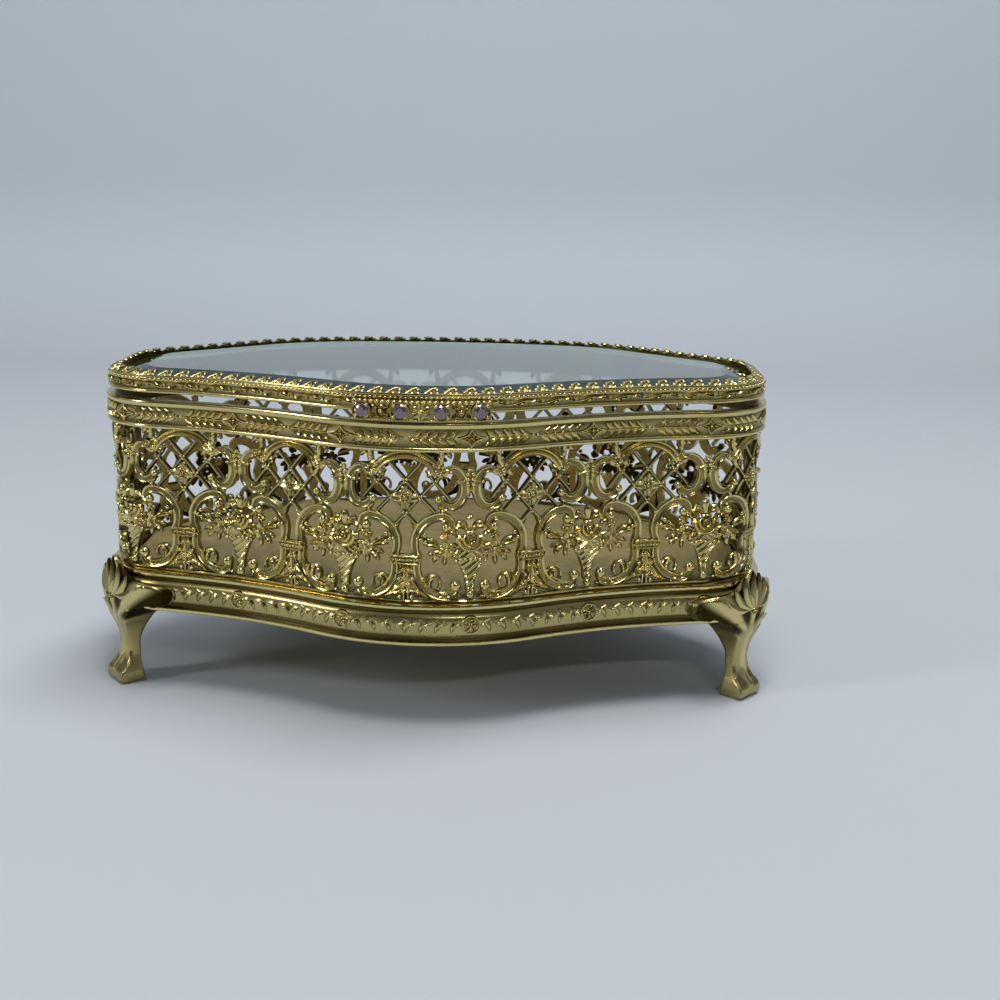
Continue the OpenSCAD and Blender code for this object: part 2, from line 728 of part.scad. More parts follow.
base_moulding();
floor_plate();
lining_board();
lining_pad();
foot_front_left();
foot_front_right();
foot_back_left();
foot_back_right();
front_filigree();
right_filigree();
back_filigree();
left_filigree();
rim_band();
hinge_lower_leaf();
hinge_pin();
hinge_upper_leaf();
lid_band();
glass_seat();
glass_panel();
crown_gallery();
thumb_bar();
bar_flower();
bar_oval_left();
bar_oval_right();
crystal_1();
crystal_2();
crystal_3();
crystal_4();
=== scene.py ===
import math

import bmesh
import bpy
from mathutils import Matrix, Vector


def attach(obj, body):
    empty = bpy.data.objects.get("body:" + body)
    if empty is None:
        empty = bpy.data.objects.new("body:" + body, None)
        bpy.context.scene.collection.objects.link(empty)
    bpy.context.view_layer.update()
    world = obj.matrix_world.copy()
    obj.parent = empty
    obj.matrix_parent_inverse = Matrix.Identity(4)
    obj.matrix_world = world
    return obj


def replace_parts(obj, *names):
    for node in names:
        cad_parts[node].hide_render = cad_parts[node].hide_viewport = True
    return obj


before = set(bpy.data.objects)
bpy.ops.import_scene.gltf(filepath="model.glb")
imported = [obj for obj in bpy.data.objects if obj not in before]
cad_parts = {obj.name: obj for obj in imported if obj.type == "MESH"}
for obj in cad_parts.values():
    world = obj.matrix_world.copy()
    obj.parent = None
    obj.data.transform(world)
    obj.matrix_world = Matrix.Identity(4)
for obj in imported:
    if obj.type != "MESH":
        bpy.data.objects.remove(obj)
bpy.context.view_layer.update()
scene = bpy.context.scene
scene.view_settings.view_transform = "Standard"

# ---- Camera: a long look at the front from a little above the lid, as in the photograph.
# It stands 350 mm before the casket and 129 mm above the table, and looks 14 degrees down.
camera_data = bpy.data.cameras.new("camera")
camera_data.lens = 53.3
camera_data.sensor_width = 36
camera_data.clip_start = 0.01
camera = bpy.data.objects.new("camera", camera_data)
scene.collection.objects.link(camera)
camera.matrix_world = (Matrix.Translation((0.0276, -0.3520, 0.1286))
                       @ Matrix.Rotation(math.radians(2.04), 4, "Z")
                       @ Matrix.Rotation(math.radians(90 - 14.07), 4, "X")
                       @ Matrix.Rotation(math.radians(0.74), 4, "Z"))
scene.camera = camera

# ---- Table and backdrop: one plain sheet that curves up behind the casket.
# It is off-white below and painted a lighter pale blue-grey where it rises, painted light for the wall part. It catches
# the casket's soft shadow.
sheet = bpy.data.meshes.new("backdrop")
bend_start, bend_radius = 0.46, 0.10
profile = [(-2.5, 0.0), (bend_start, 0.0)]
profile += [(bend_start + bend_radius * math.sin(math.radians(a)), bend_radius - bend_radius * math.cos(math.radians(a)))
            for a in range(6, 91, 6)] + [(bend_start + bend_radius, 3.0)]
sheet.from_pydata([(x, y, z) for y, z in profile for x in (-4.0, 4.0)], [],
                  [(2 * k, 2 * k + 1, 2 * k + 3, 2 * k + 2) for k in range(len(profile) - 1)])
sheet.shade_smooth()
backdrop = bpy.data.objects.new("backdrop", sheet)
scene.collection.objects.link(backdrop)
paper = bpy.data.materials.new("backdrop_paper")
paper.use_nodes = True
nodes, links = paper.node_tree.nodes, paper.node_tree.links
place = nodes.new("ShaderNodeTexCoord")
height = nodes.new("ShaderNodeSeparateXYZ")
links.new(place.outputs["Object"], height.inputs[0])
rise = nodes.new("ShaderNodeMapRange")
rise.inputs["From Min"].default_value = 0.0
rise.inputs["From Max"].default_value = 0.05
links.new(height.outputs["Z"], rise.inputs["Value"])
# Painted light: the sheet's colour turns lighter and bluer over its first 5 cm of rise.
tone = nodes.new("ShaderNodeMix")
tone.data_type = "RGBA"
tone.inputs[6].default_value = (0.55, 0.59, 0.63, 1)
tone.inputs[7].default_value = (0.62, 0.70, 0.76, 1)
links.new(rise.outputs[0], tone.inputs[0])
surface = nodes["Principled BSDF"]
surface.inputs["Roughness"].default_value = 0.9
links.new(tone.outputs[2], surface.inputs["Base Color"])
sheet.materials.append(paper)

# ---- Light: a wide soft lamp overhead, one at the left, and a room that is dimmer in front.
world = bpy.data.worlds.new("room")
scene.world = world
world.use_nodes = True
nodes, links = world.node_tree.nodes, world.node_tree.links
way = nodes.new("ShaderNodeTexCoord")
split = nodes.new("ShaderNodeSeparateXYZ")
links.new(way.outputs["Generated"], split.inputs[0])
front = nodes.new("ShaderNodeMapRange")
front.inputs["From Min"].default_value = -0.9
front.inputs["From Max"].default_value = 0.3
links.new(split.outputs["Y"], front.inputs["Value"])
room = nodes.new("ShaderNodeMix")
room.data_type = "RGBA"
room.inputs[6].default_value = (0.026, 0.026, 0.03, 1)
room.inputs[7].default_value = (0.50, 0.53, 0.57, 1)
links.new(front.outputs[0], room.inputs[0])
links.new(room.outputs[2], nodes["Background"].inputs["Color"])
nodes["Background"].inputs["Strength"].default_value = 0.8


def lamp(name, at, aim, width, depth, watts):
    data = bpy.data.lights.new(name, "AREA")
    data.shape = "RECTANGLE"
    data.size, data.size_y, data.energy = width, depth, watts
    obj = bpy.data.objects.new(name, data)
    scene.collection.objects.link(obj)
    obj.matrix_world = Matrix.Translation(at) @ (Vector(aim) - Vector(at)).to_track_quat("-Z", "Y").to_matrix().to_4x4()


lamp("overhead_lamp", (0.1, -0.05, 0.95), (0, 0, 0.05), 0.7, 0.22, 6.0)
lamp("left_lamp", (-0.9, -0.45, 0.5), (0, 0, 0.05), 0.12, 0.4, 2.4)
lamp("front_strip", (0.3, -0.9, 0.62), (0, 0, 0.05), 0.4, 0.05, 1.3)

# ---- The gilt finish: brass plated with a pale gold, polished high, with painted shade that darkens it in its recesses.
# The piece's own "relief" attribute is 0 in the depth of the ornament and 1 on its crests.
age = bpy.data.node_groups.new("gilt_age", "ShaderNodeTree")
for name, kind, where in (("Relief", "NodeSocketFloat", "INPUT"), ("Gold", "NodeSocketColor", "INPUT"),
                          ("Recess", "NodeSocketColor", "INPUT"), ("Tarnish", "NodeSocketFloat", "INPUT"),
                          ("Color", "NodeSocketColor", "OUTPUT"), ("Roughness", "NodeSocketFloat", "OUTPUT"),
                          ("Height", "NodeSocketFloat", "OUTPUT")):
    age.interface.new_socket(name=name, in_out=where, socket_type=kind)
nodes, links = age.nodes, age.links
given, made = nodes.new("NodeGroupInput"), nodes.new("NodeGroupOutput")
place = nodes.new("ShaderNodeTexCoord")
patches = nodes.new("ShaderNodeTexNoise")
patches.inputs["Scale"].default_value = 55
patches.inputs["Detail"].default_value = 4
links.new(place.outputs["Object"], patches.inputs["Vector"])
grain = nodes.new("ShaderNodeTexNoise")
grain.inputs["Scale"].default_value = 900
grain.inputs["Detail"].default_value = 2
links.new(place.outputs["Object"], grain.inputs["Vector"])
uneven = nodes.new("ShaderNodeMath")
uneven.operation = "MULTIPLY_ADD"
links.new(patches.outputs["Fac"], uneven.inputs[0])
uneven.inputs[1].default_value = 0.5
uneven.inputs[2].default_value = -0.25
lifted = nodes.new("ShaderNodeMath")
lifted.operation = "ADD"
links.new(given.outputs["Relief"], lifted.inputs[0])
links.new(uneven.outputs[0], lifted.inputs[1])
crest_share = nodes.new("ShaderNodeMapRange")
crest_share.interpolation_type = "SMOOTHSTEP"
crest_share.inputs["From Min"].default_value = 0.17
crest_share.inputs["From Max"].default_value = 0.84
links.new(lifted.outputs[0], crest_share.inputs["Value"])
# Painted shade: the dark colour is mixed in where the relief is low, in the depths of the ornament.
tone = nodes.new("ShaderNodeMix")
tone.data_type = "RGBA"
links.new(crest_share.outputs[0], tone.inputs[0])
links.new(given.outputs["Recess"], tone.inputs[6])
links.new(given.outputs["Gold"], tone.inputs[7])
brown = nodes.new("ShaderNodeMix")
brown.data_type = "RGBA"
brown.blend_type = "MULTIPLY"
brown.inputs[7].default_value = (0.62, 0.52, 0.36, 1)
spots = nodes.new("ShaderNodeMapRange")
spots.inputs["From Min"].default_value = 0.5
spots.inputs["From Max"].default_value = 0.8
links.new(patches.outputs["Fac"], spots.inputs["Value"])
share = nodes.new("ShaderNodeMath")
share.operation = "MULTIPLY"
links.new(spots.outputs[0], share.inputs[0])
links.new(given.outputs["Tarnish"], share.inputs[1])
links.new(share.outputs[0], brown.inputs[0])
links.new(tone.outputs[2], brown.inputs[6])
links.new(brown.outputs[2], made.inputs["Color"])
rough = nodes.new("ShaderNodeMapRange")
rough.inputs["To Min"].default_value = 0.38
rough.inputs["To Max"].default_value = 0.13
links.new(crest_share.outputs[0], rough.inputs["Value"])
mottled = nodes.new("ShaderNodeMath")
mottled.operation = "MULTIPLY_ADD"
links.new(grain.outputs["Fac"], mottled.inputs[0])
mottled.inputs[1].default_value = 0.1
links.new(rough.outputs[0], mottled.inputs[2])
links.new(mottled.outputs[0], made.inputs["Roughness"])
links.new(grain.outputs["Fac"], made.inputs["Height"])


def gilt(name, gold, painted_shade, tarnish=0.6, relief=None):
    """A gilt finish. Where relief is a number the piece has no attribute of its own."""
    material = bpy.data.materials.new(name)
    material.use_nodes = True
    nodes, links = material.node_tree.nodes, material.node_tree.links
    surface = nodes["Principled BSDF"]
    surface.inputs["Metallic"].default_value = 1.0
    group = nodes.new("ShaderNodeGroup")
    group.node_tree = age
    group.inputs["Gold"].default_value = (*gold, 1)
    group.inputs["Recess"].default_value = (*painted_shade, 1)
    group.inputs["Tarnish"].default_value = tarnish
    if relief is None:
        depth = nodes.new("ShaderNodeAttribute")
        depth.attribute_name = "relief"
        links.new(depth.outputs["Fac"], group.inputs["Relief"])
    else:
        group.inputs["Relief"].default_value = relief
    bump = nodes.new("ShaderNodeBump")
    bump.inputs["Strength"].default_value = 0.12
    bump.inputs["Distance"].default_value = 0.0002
    links.new(group.outputs["Height"], bump.inputs["Height"])
    links.new(bump.outputs[0], surface.inputs["Normal"])
    links.new(group.outputs["Color"], surface.inputs["Base Color"])
    links.new(group.outputs["Roughness"], surface.inputs["Roughness"])
    return material


# The second colour of each finish is painted shade for the depths of its ornament.
cast_gilt = gilt("cast_gilt", (0.72, 0.61, 0.26), (0.036, 0.023, 0.005))
band_gilt = gilt("band_gilt", (0.76, 0.645, 0.275), (0.085, 0.058, 0.016))
plain_gilt = gilt("plain_gilt", (0.50, 0.40, 0.15), (0.09, 0.063, 0.02), 0.9, 0.62)

# ---- The plan: the line that the pierced wall follows, from the middle of the front round by
# the right end and the back. It is the wall's middle, 1.8 mm inside the line of the rim.
MM = 0.001
WALL_LINE = -1.8
half_plan = [(50, 29), (-121.754, 19), (18, 80), (0, 14.326), (16, 47), (0, 26.693), (45, 31.073), (150, 11.927)]


def walk(step_mm):
    """Points [x, y, heading, distance] along the wall's middle line, in mm."""
    at, points, total = [0.0, -48.0, 0.0], [], 0.0
    for radius, turn in half_plan + half_plan[::-1]:
        length = abs(radius + WALL_LINE) * math.radians(turn) if radius else turn
        steps = max(2, round(length / step_mm))
        sweep = math.radians(turn) * (1 if radius > 0 else -1) if radius else 0.0
        x, y, heading = at
        for k in range(steps + 1):
            f = k / steps
            h = heading + f * sweep
            if radius:
                cx, cy = x - radius * math.sin(heading), y + radius * math.cos(heading)
                here = [cx + radius * math.sin(h), cy - radius * math.cos(h)]
            else:
                here = [x + f * turn * math.cos(h), y + f * turn * math.sin(h)]
            if k < steps:
                points.append((here[0], here[1], h, total + f * length))
            else:
                at = [here[0], here[1], h]
        total += length
    return points, total


stations, wall_length = walk(0.5)


def offset(station, d):
    x, y, heading, _ = station
    return x + d * math.sin(heading), y - d * math.cos(heading)


plan_curve = bpy.data.curves.new("wall_line", "CURVE")
plan_curve.dimensions = "3D"
spline = plan_curve.splines.new("POLY")
spline.points.add(len(stations) - 1)
for point, station in zip(spline.points, stations):
    x, y = offset(station, WALL_LINE)
    point.co = (x * MM, y * MM, 0, 1)
spline.use_cyclic_u = True
plan_line = bpy.data.objects.new("wall_line", plan_curve)
scene.collection.objects.link(plan_line)

# The lid is held up in front by the thumb bar's lip: it is turned about the hinge by this much.
HINGE = Vector((0, 49.5 * MM, 69.3 * MM))
seated = (Matrix.Translation(HINGE) @ Matrix.Rotation(-math.asin(1.65 / 97.5), 4, "X")
          @ Matrix.Translation(-HINGE))

# Bends a flat strip of castings round the wall: x runs along the wall, -y points outward, z up.
# Repeats are counted from the first one's place, and each keeps its own attributes.
round_wall = bpy.data.node_groups.new("round_the_wall", "GeometryNodeTree")
socket = {}
for name, kind, where in (("Casting", "NodeSocketGeometry", "INPUT"), ("Line", "NodeSocketObject", "INPUT"),
                          ("Length", "NodeSocketFloat", "INPUT"), ("Pitch", "NodeSocketFloat", "INPUT"),
                          ("First", "NodeSocketFloat", "INPUT"), ("Count", "NodeSocketInt", "INPUT"),
                          ("Finish", "NodeSocketMaterial", "INPUT"), ("Wall", "NodeSocketGeometry", "OUTPUT")):
    socket[name] = round_wall.interface.new_socket(name=name, in_out=where, socket_type=kind)
nodes, links = round_wall.nodes, round_wall.links
given, made = nodes.new("NodeGroupInput"), nodes.new("NodeGroupOutput")
row = nodes.new("GeometryNodeMeshLine")
links.new(given.outputs["Count"], row.inputs["Count"])
start, stride = nodes.new("ShaderNodeCombineXYZ"), nodes.new("ShaderNodeCombineXYZ")
links.new(given.outputs["First"], start.inputs["X"])
links.new(given.outputs["Pitch"], stride.inputs["X"])
links.new(start.outputs[0], row.inputs["Start Location"])
links.new(stride.outputs[0], row.inputs["Offset"])
copies = nodes.new("GeometryNodeInstanceOnPoints")
links.new(row.outputs[0], copies.inputs["Points"])
links.new(given.outputs["Casting"], copies.inputs["Instance"])
solid = nodes.new("GeometryNodeRealizeInstances")
links.new(copies.outputs[0], solid.inputs[0])
where = nodes.new("GeometryNodeInputPosition")
part = nodes.new("ShaderNodeSeparateXYZ")
links.new(where.outputs[0], part.inputs[0])
share = nodes.new("ShaderNodeMath")
share.operation = "DIVIDE"
links.new(part.outputs["X"], share.inputs[0])
links.new(given.outputs["Length"], share.inputs[1])
lap = nodes.new("ShaderNodeMath")
lap.operation = "FRACT"
links.new(share.outputs[0], lap.inputs[0])
line = nodes.new("GeometryNodeObjectInfo")
links.new(given.outputs["Line"], line.inputs["Object"])
found = nodes.new("GeometryNodeSampleCurve")
found.mode = "FACTOR"
found.use_all_curves = True
links.new(line.outputs["Geometry"], found.inputs["Curves"])
links.new(lap.outputs[0], found.inputs["Factor"])
side = nodes.new("ShaderNodeVectorMath")
side.operation = "CROSS_PRODUCT"
links.new(found.outputs["Tangent"], side.inputs[0])
side.inputs[1].default_value = (0, 0, -1)
aside = nodes.new("ShaderNodeVectorMath")
aside.operation = "SCALE"
links.new(side.outputs[0], aside.inputs[0])
links.new(part.outputs["Y"], aside.inputs["Scale"])
level = nodes.new("ShaderNodeVectorMath")
level.operation = "ADD"
links.new(found.outputs["Position"], level.inputs[0])
links.new(aside.outputs[0], level.inputs[1])
upright = nodes.new("ShaderNodeCombineXYZ")
links.new(part.outputs["Z"], upright.inputs["Z"])
bent = nodes.new("ShaderNodeVectorMath")
bent.operation = "ADD"
links.new(level.outputs[0], bent.inputs[0])
links.new(upright.outputs[0], bent.inputs[1])
moved = nodes.new("GeometryNodeSetPosition")
links.new(solid.outputs[0], moved.inputs["Geometry"])
links.new(bent.outputs[0], moved.inputs["Position"])
dressed = nodes.new("GeometryNodeSetMaterial")
links.new(moved.outputs[0], dressed.inputs["Geometry"])
links.new(given.outputs["Finish"], dressed.inputs["Material"])
links.new(dressed.outputs[0], made.inputs["Wall"])


def bend_round(flat, name, pitch, first, count, finish, body, on_lid=False):
    """Repeats a flat casting along the wall's line, as one plain mesh that rides on a body."""
    piece = bpy.data.objects.new(name, flat)
    scene.collection.objects.link(piece)
    work = piece.modifiers.new("round_the_wall", "NODES")
    work.node_group = round_wall
    for label, value in (("Line", plan_line), ("Length", wall_length * MM), ("Pitch", pitch * MM),
                         ("First", first * MM), ("Count", count), ("Finish", finish)):
        work[socket[label].identifier] = value
    graph = bpy.context.evaluated_depsgraph_get()
    shape = bpy.data.meshes.new_from_object(piece.evaluated_get(graph), preserve_all_data_layers=True,
                                            depsgraph=graph)
    piece.modifiers.clear()
    piece.data = shape
    if on_lid:
        shape.transform(seated)
    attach(piece, body)
    return piece


# ---- The filigree wall: castings of scrolls, lattice and flower baskets in pale gilt brass,
# soldered edge to edge between the base and the rim. One casting is modelled flat, from its
# basket's axis outwards, and is mirrored and repeated round the wall.
class Casting:
    """Faces of a flat casting, in mm: u along the wall, w outward, v up."""

    def __init__(self):
        self.points, self.faces = [], []

    def add(self, points, faces):
        base = len(self.points)
        self.points += points
        self.faces += [[base + i for i in face] for face in faces]

    def bar(self, path, width, section, taper=None, lift=0.0):
        """A bar swept along a flat path; its section is [across, outward] points, left to right."""
        n, m = len(path), len(section)
        points = []
        for k, (u, v) in enumerate(path):
            a, b = path[max(k - 1, 0)], path[min(k + 1, n - 1)]
            du, dv = b[0] - a[0], b[1] - a[1]
            long = math.hypot(du, dv) or 1.0
            nu, nv = -dv / long, du / long
            f = (k / (n - 1) if n > 1 else 0)
            size = width * (taper(f) if taper else 1.0)
            height = taper(f) ** 0.5 if taper else 1.0
            for across, out in section:
                up = out if out < 0 else out * height
                points.append((u + nu * across * size, up + lift, v + nv * across * size))
        faces = [[k * m + i, k * m + (i + 1) % m, (k + 1) * m + (i + 1) % m, (k + 1) * m + i]
                 for k in range(n - 1) for i in range(m)]
        faces += [list(range(m)), [(n - 1) * m + i for i in reversed(range(m))]]
        self.add(points, faces)

    def bead(self, u, v, r, w=0.3, sides=8, tall=1.0):
        rings = ((-0.9, 0.45), (-0.25, 0.97), (0.45, 0.88), (0.86, 0.5))
        points = [(u, w - r * 0.95, v)]
        for out, wide in rings:
            points += [(u + r * wide * math.cos(2 * math.pi * k / sides), w + r * out * tall,
                        v + r * wide * math.sin(2 * math.pi * k / sides)) for k in range(sides)]
        points.append((u, w + r * tall, v))
        last = len(points) - 1
        faces = [[0, 1 + (k + 1) % sides, 1 + k] for k in range(sides)]
        for q in range(len(rings) - 1):
            a, b = 1 + q * sides, 1 + (q + 1) * sides
            faces += [[a + k, a + (k + 1) % sides, b + (k + 1) % sides, b + k] for k in range(sides)]
        a = 1 + (len(rings) - 1) * sides
        faces += [[a + k, a + (k + 1) % sides, last] for k in range(sides)]
        self.add(points, faces)

    def leaf(self, root, tip, width, height=0.5, bow=0.0, lift=0.25):
        """A pointed leaf with a sharp midrib, bowed sideways."""
        (u0, v0), (u1, v1) = root, tip
        du, dv = u1 - u0, v1 - v0
        path = [(u0 + du * f - dv * bow * math.sin(math.pi * f), v0 + dv * f + du * bow * math.sin(math.pi * f))
                for f in (0, 0.22, 0.45, 0.7, 0.9, 1)]
        self.bar(path, width, LEAF, lambda f: max(0.06, math.sin(math.pi * min(1, 0.12 + f * 0.9)) ** 0.9), lift)

    def petal(self, root, tip, width, lift=0.3):
        (u0, v0), (u1, v1) = root, tip
        path = [(u0 + (u1 - u0) * f, v0 + (v1 - v0) * f) for f in (0, 0.3, 0.6, 0.85, 1)]
        self.bar(path, width, PETAL, lambda f: 0.45 + 0.55 * math.sin(math.pi * min(1, 0.15 + 0.75 * f)), lift)

    def mirrored(self):
        """Adds the left half: the same faces, mirrored in u."""
        base = len(self.points)
        self.points += [(-u, w, v) for u, w, v in self.points]
        self.faces += [[base + i for i in reversed(face)] for face in self.faces]

    def mesh(self, name, height=1.0, foot=0.0, low=-0.3, high=0.75):
        mesh = bpy.data.meshes.new(name)
        mesh.from_pydata([(u * MM, -w * MM, (v * height + foot) * MM) for u, w, v in self.points], [], self.faces)
        shell = bmesh.new()
        shell.from_mesh(mesh)
        bmesh.ops.recalc_face_normals(shell, faces=shell.faces)
        shell.to_mesh(mesh)
        shell.free()
        # The relief sets the gilt's painted shade and its polish.
        relief = mesh.attributes.new("relief", "FLOAT", "POINT")
        relief.data.foreach_set("value", [0.55 if w <= BACK else min(1, max(0, (w - low) / (high - low)))
                                          for _, w, _ in self.points])
        mesh.shade_smooth()
        mesh.set_sharp_from_angle(angle=math.radians(50))
        return mesh


def arc(u, v, r, start, end, steps=14, tall=None):
    tall = tall or r
    return [(u + r * math.cos(math.radians(start + (end - start) * k / steps)),
             v + tall * math.sin(math.radians(start + (end - start) * k / steps))) for k in range(steps + 1)]


BACK = -0.7
SCROLL = [(-0.5, BACK), (-0.5, 0.3), (-0.38, 0.66), (-0.2, 0.5), (-0.1, 0.2), (0.1, 0.2), (0.2, 0.5),
          (0.38, 0.66), (0.5, 0.3), (0.5, BACK)]
ROUND = [(-0.5, BACK), (-0.5, 0.1), (-0.3, 0.6), (0, 0.8), (0.3, 0.6), (0.5, 0.1), (0.5, BACK)]
RIDGE = [(-0.5, BACK), (-0.5, -0.1), (-0.14, 0.34), (0.14, 0.34), (0.5, -0.1), (0.5, BACK)]
LEAF = [(-0.5, -0.5), (-0.5, 0.1), (0, 0.55), (0.5, 0.1), (0.5, -0.5)]
PETAL = [(-0.5, -0.5), (-0.5, 0.25), (-0.3, 0.42), (0, 0.12), (0.3, 0.42), (0.5, 0.25), (0.5, -0.5)]
axis_u = 14.0

casting = Casting()
# The arch over the rosette: two thin rims side by side
casting.bar(arc(axis_u, 25.1, 7.5, 90, 152, 12), 1.1, ROUND, lift=0.15)
casting.bar(arc(axis_u, 25.1, 8.55, 90, 150, 12), 1.1, ROUND, lift=0.0)
casting.bar(arc(axis_u, 25.1, 8.0, 90, 151, 12), 0.9, [(-0.5, BACK), (-0.5, 0.1), (0.5, 0.1), (0.5, BACK)])
# Leaves where the arch ends, over the ear
casting.leaf((7.3, 29.6), (9.2, 28.0), 1.4, bow=0.2)
casting.leaf((7.1, 29.4), (6.0, 31.8), 1.5, bow=-0.15)
casting.leaf((7.2, 29.3), (8.2, 31.6), 1.2, bow=0.1)
casting.leaf((6.9, 29.0), (4.6, 30.2), 1.5, bow=0.2)
casting.leaf((6.8, 28.6), (7.4, 26.6), 1.1)
for u, v, r in ((7.2, 29.4, 0.7), (6.0, 30.3, 0.45), (6.6, 32.2, 0.5), (5.9, 32.9, 0.45), (7.9, 30.7, 0.4)):
    casting.bead(u, v, r, 0.45)
casting.bar([(6.3, 31.4), (6.2, 33.9)], 1.2, ROUND)
casting.leaf((5.6, 33.8), (4.2, 32.2), 1.2, bow=-0.15)
# The ear: a tall ring, broad at its outer side, that ends in a ball
ear = arc(4.15, 25.7, 2.9, 62, 318, 22, 4.1)
casting.bar(ear, 1.85, SCROLL, lambda f: 0.7 + 0.5 * math.sin(math.pi * f))
casting.bar(arc(4.3, 25.6, 1.9, 150, 300, 10, 2.9), 0.6, RIDGE, lambda f: 0.4 + 0.6 * math.sin(math.pi * f))
casting.bar(arc(5.2, 28.2, 1.6, 20, 110, 6), 0.9, ROUND, lambda f: 0.6 + 0.5 * f)
for u, v, r in ((6.9, 23.3, 0.95), (6.5, 28.6, 0.7), (2.6, 27.2, 0.5)):
    casting.bead(u, v, r, 0.35)
casting.leaf((5.2, 21.3), (7.0, 22.3), 1.1, bow=-0.2)
casting.leaf((5.0, 21.2), (6.2, 20.0), 1.2, bow=0.2)
# Bead cluster between the ears
for v in (26.6, 27.7, 28.8):
    casting.bead(0.62, v, 0.6, 0.35)
casting.bead(0.3, 29.8, 0.5, 0.4)
casting.leaf((0.35, 26.3), (0.3, 24.6), 0.9)
casting.bar([(0.9, 27.6), (1.9, 27.2)], 0.9, ROUND)
# Lattice: ridged rods, with heart beads where they cross
T, B, S, O, L = (axis_u, 27.4), (axis_u, 20.1), (10.85, 23.75), (7.75, 27.1), (7.6, 20.4)
for a, b in ((T, S), (S, L), (B, S), (S, O), (T, (10.5, 31.3)), (O, (4.6, 23.4)), (O, (9.5, 29.6)),
             (B, (10.9, 16.8)), (O, (6.6, 28.4))):
    casting.bar([a, b], 0.85, RIDGE)
for u, v in (O, S):
    for du, dv in ((-0.42, 0.3), (0.42, 0.3), (0, -0.4)):
        casting.bead(u + du, v + dv, 0.4, 0.3, 6)
for v in (27.4, 20.1):
    casting.bead(axis_u - 0.38, v + 0.3, 0.4, 0.35, 6)
    casting.bead(axis_u - 0.1, v - 0.35, 0.4, 0.35, 6)
# Rosette in the lattice: one half of its petals
for angle in (90, 135, 180, 225, 270):
    a = math.radians(angle)
    long = 2.5 if angle % 90 == 0 else 1.9
    wide = 1.9 if angle % 90 == 0 else 1.2
    casting.petal((axis_u + 0.5 * math.cos(a), 23.7 + 0.5 * math.sin(a)),
                  (axis_u + long * math.cos(a), 23.7 + long * math.sin(a)), wide, 0.35)
for angle in (112, 157, 202, 247):
    a = math.radians(angle)
    casting.leaf((axis_u + 0.6 * math.cos(a), 23.7 + 0.6 * math.sin(a)),
                 (axis_u + 2.7 * math.cos(a), 23.7 + 2.7 * math.sin(a)), 0.8, lift=0.1)
casting.bead(axis_u, 23.7, 0.75, 0.75)
for angle in (100, 140, 180, 220, 260):
    casting.bead(axis_u + 0.95 * math.cos(math.radians(angle)), 23.7 + 0.95 * math.sin(math.radians(angle)),
                 0.28, 0.75, 6)
# Upper C-scroll, from the collar over to its curled end and ball
upper = arc(6, 13.4, 6.1, -32, 90, 20) + arc(6, 17.5, 2.0, 102, 235, 10)
casting.bar(upper, 2.2, SCROLL, lambda f: 0.8 + 0.2 * math.sin(math.pi * f) - (0.35 * (f - 0.75) / 0.25 if f > 0.75 else 0))
casting.bar(arc(6, 13.4, 5.1, 8, 82, 12), 0.55, RIDGE, lambda f: 0.3 + 0.7 * math.sin(math.pi * f))
casting.bead(5.35, 17.2, 1.05, 0.35, 10)
casting.leaf((4.4, 16.4), (2.6, 18.6), 1.2, bow=0.25)
casting.leaf((5.2, 16.2), (6.4, 14.6), 1.0, bow=-0.2)
casting.leaf((11.6, 15.4), (12.9, 18.4), 0.9, bow=0.1, lift=0.0)
# Lower C-scroll, from the collar down to its curled end and ball
lower = arc(5.2, 8.1, 6.4, 22, -90, 20) + arc(5.2, 3.9, 2.2, 258, 160, 8)
casting.bar(lower, 2.05, SCROLL, lambda f: 0.85 + 0.15 * math.sin(math.pi * f) - (0.3 * (f - 0.8) / 0.2 if f > 0.8 else 0))
casting.bead(3.25, 4.2, 1.3, 0.35, 12)
casting.bar(arc(8.4, 4.6, 1.9, 215, 60, 10), 0.85, ROUND, lambda f: 1 - 0.45 * f)
casting.bead(8.3, 5.9, 0.6, 0.3)
casting.leaf((8.6, 3.2), (7.6, 6.4), 1.1, bow=-0.2)
casting.leaf((9.6, 3.4), (9.0, 6.6), 0.9, bow=-0.2)
# Collar: a milled band that holds the scrolls together
casting.bar([(axis_u - 2.75, 10.7), (axis_u, 10.7)], 0.75, ROUND, lift=0.25)
casting.bar([(axis_u - 2.6, 9.0), (axis_u, 9.0)], 0.65, ROUND, lift=0.1)
casting.bar([(axis_u - 2.4, 9.9), (axis_u, 9.9)], 1.5, [(-0.5, BACK), (-0.5, 0.25), (0.5, 0.25), (0.5, BACK)])
for k in range(4):
    casting.bead(axis_u - 0.45 - 0.72 * k, 9.85, 0.42, 0.35, 6)
# Leafy spray under the collar
for root, tip, wide, bow in (((13.7, 8.6), (11.4, 6.4), 1.1, 0.15), ((13.8, 7.6), (11.6, 4.0), 1.2, 0.15),
                             ((13.9, 6.4), (12.4, 2.2), 1.2, 0.12), ((14, 4.6), (10.4, 1.6), 1.3, -0.1),
                             ((14, 3.0), (8.8, 1.0), 1.2, -0.1), ((14, 8.4), (13.2, 4.8), 0.9, 0.0)):
    casting.leaf(root, tip, wide, bow=bow)
for u, v, r in ((13.3, 7.6, 0.45), (12.5, 5.6, 0.5), (13.4, 4.4, 0.55), (11.4, 2.9, 0.5), (13.5, 2.6, 0.5),
                (12.7, 1.5, 0.55)):
    casting.bead(u, v, r, 0.45, 6)
casting.bar([(axis_u - 0.5, 0.6), (axis_u - 0.5, 8.8)], 1.0, RIDGE)
# Rail along the foot, with low leaves on it
casting.bar([(0, 0.45), (axis_u, 0.45)], 0.9, ROUND, lift=-0.15)
for u in (2.6, 4.4, 6.2):
    casting.leaf((u + 1.5, 1.0), (u - 0.6, 1.6), 0.9, bow=-0.15, lift=0.1)
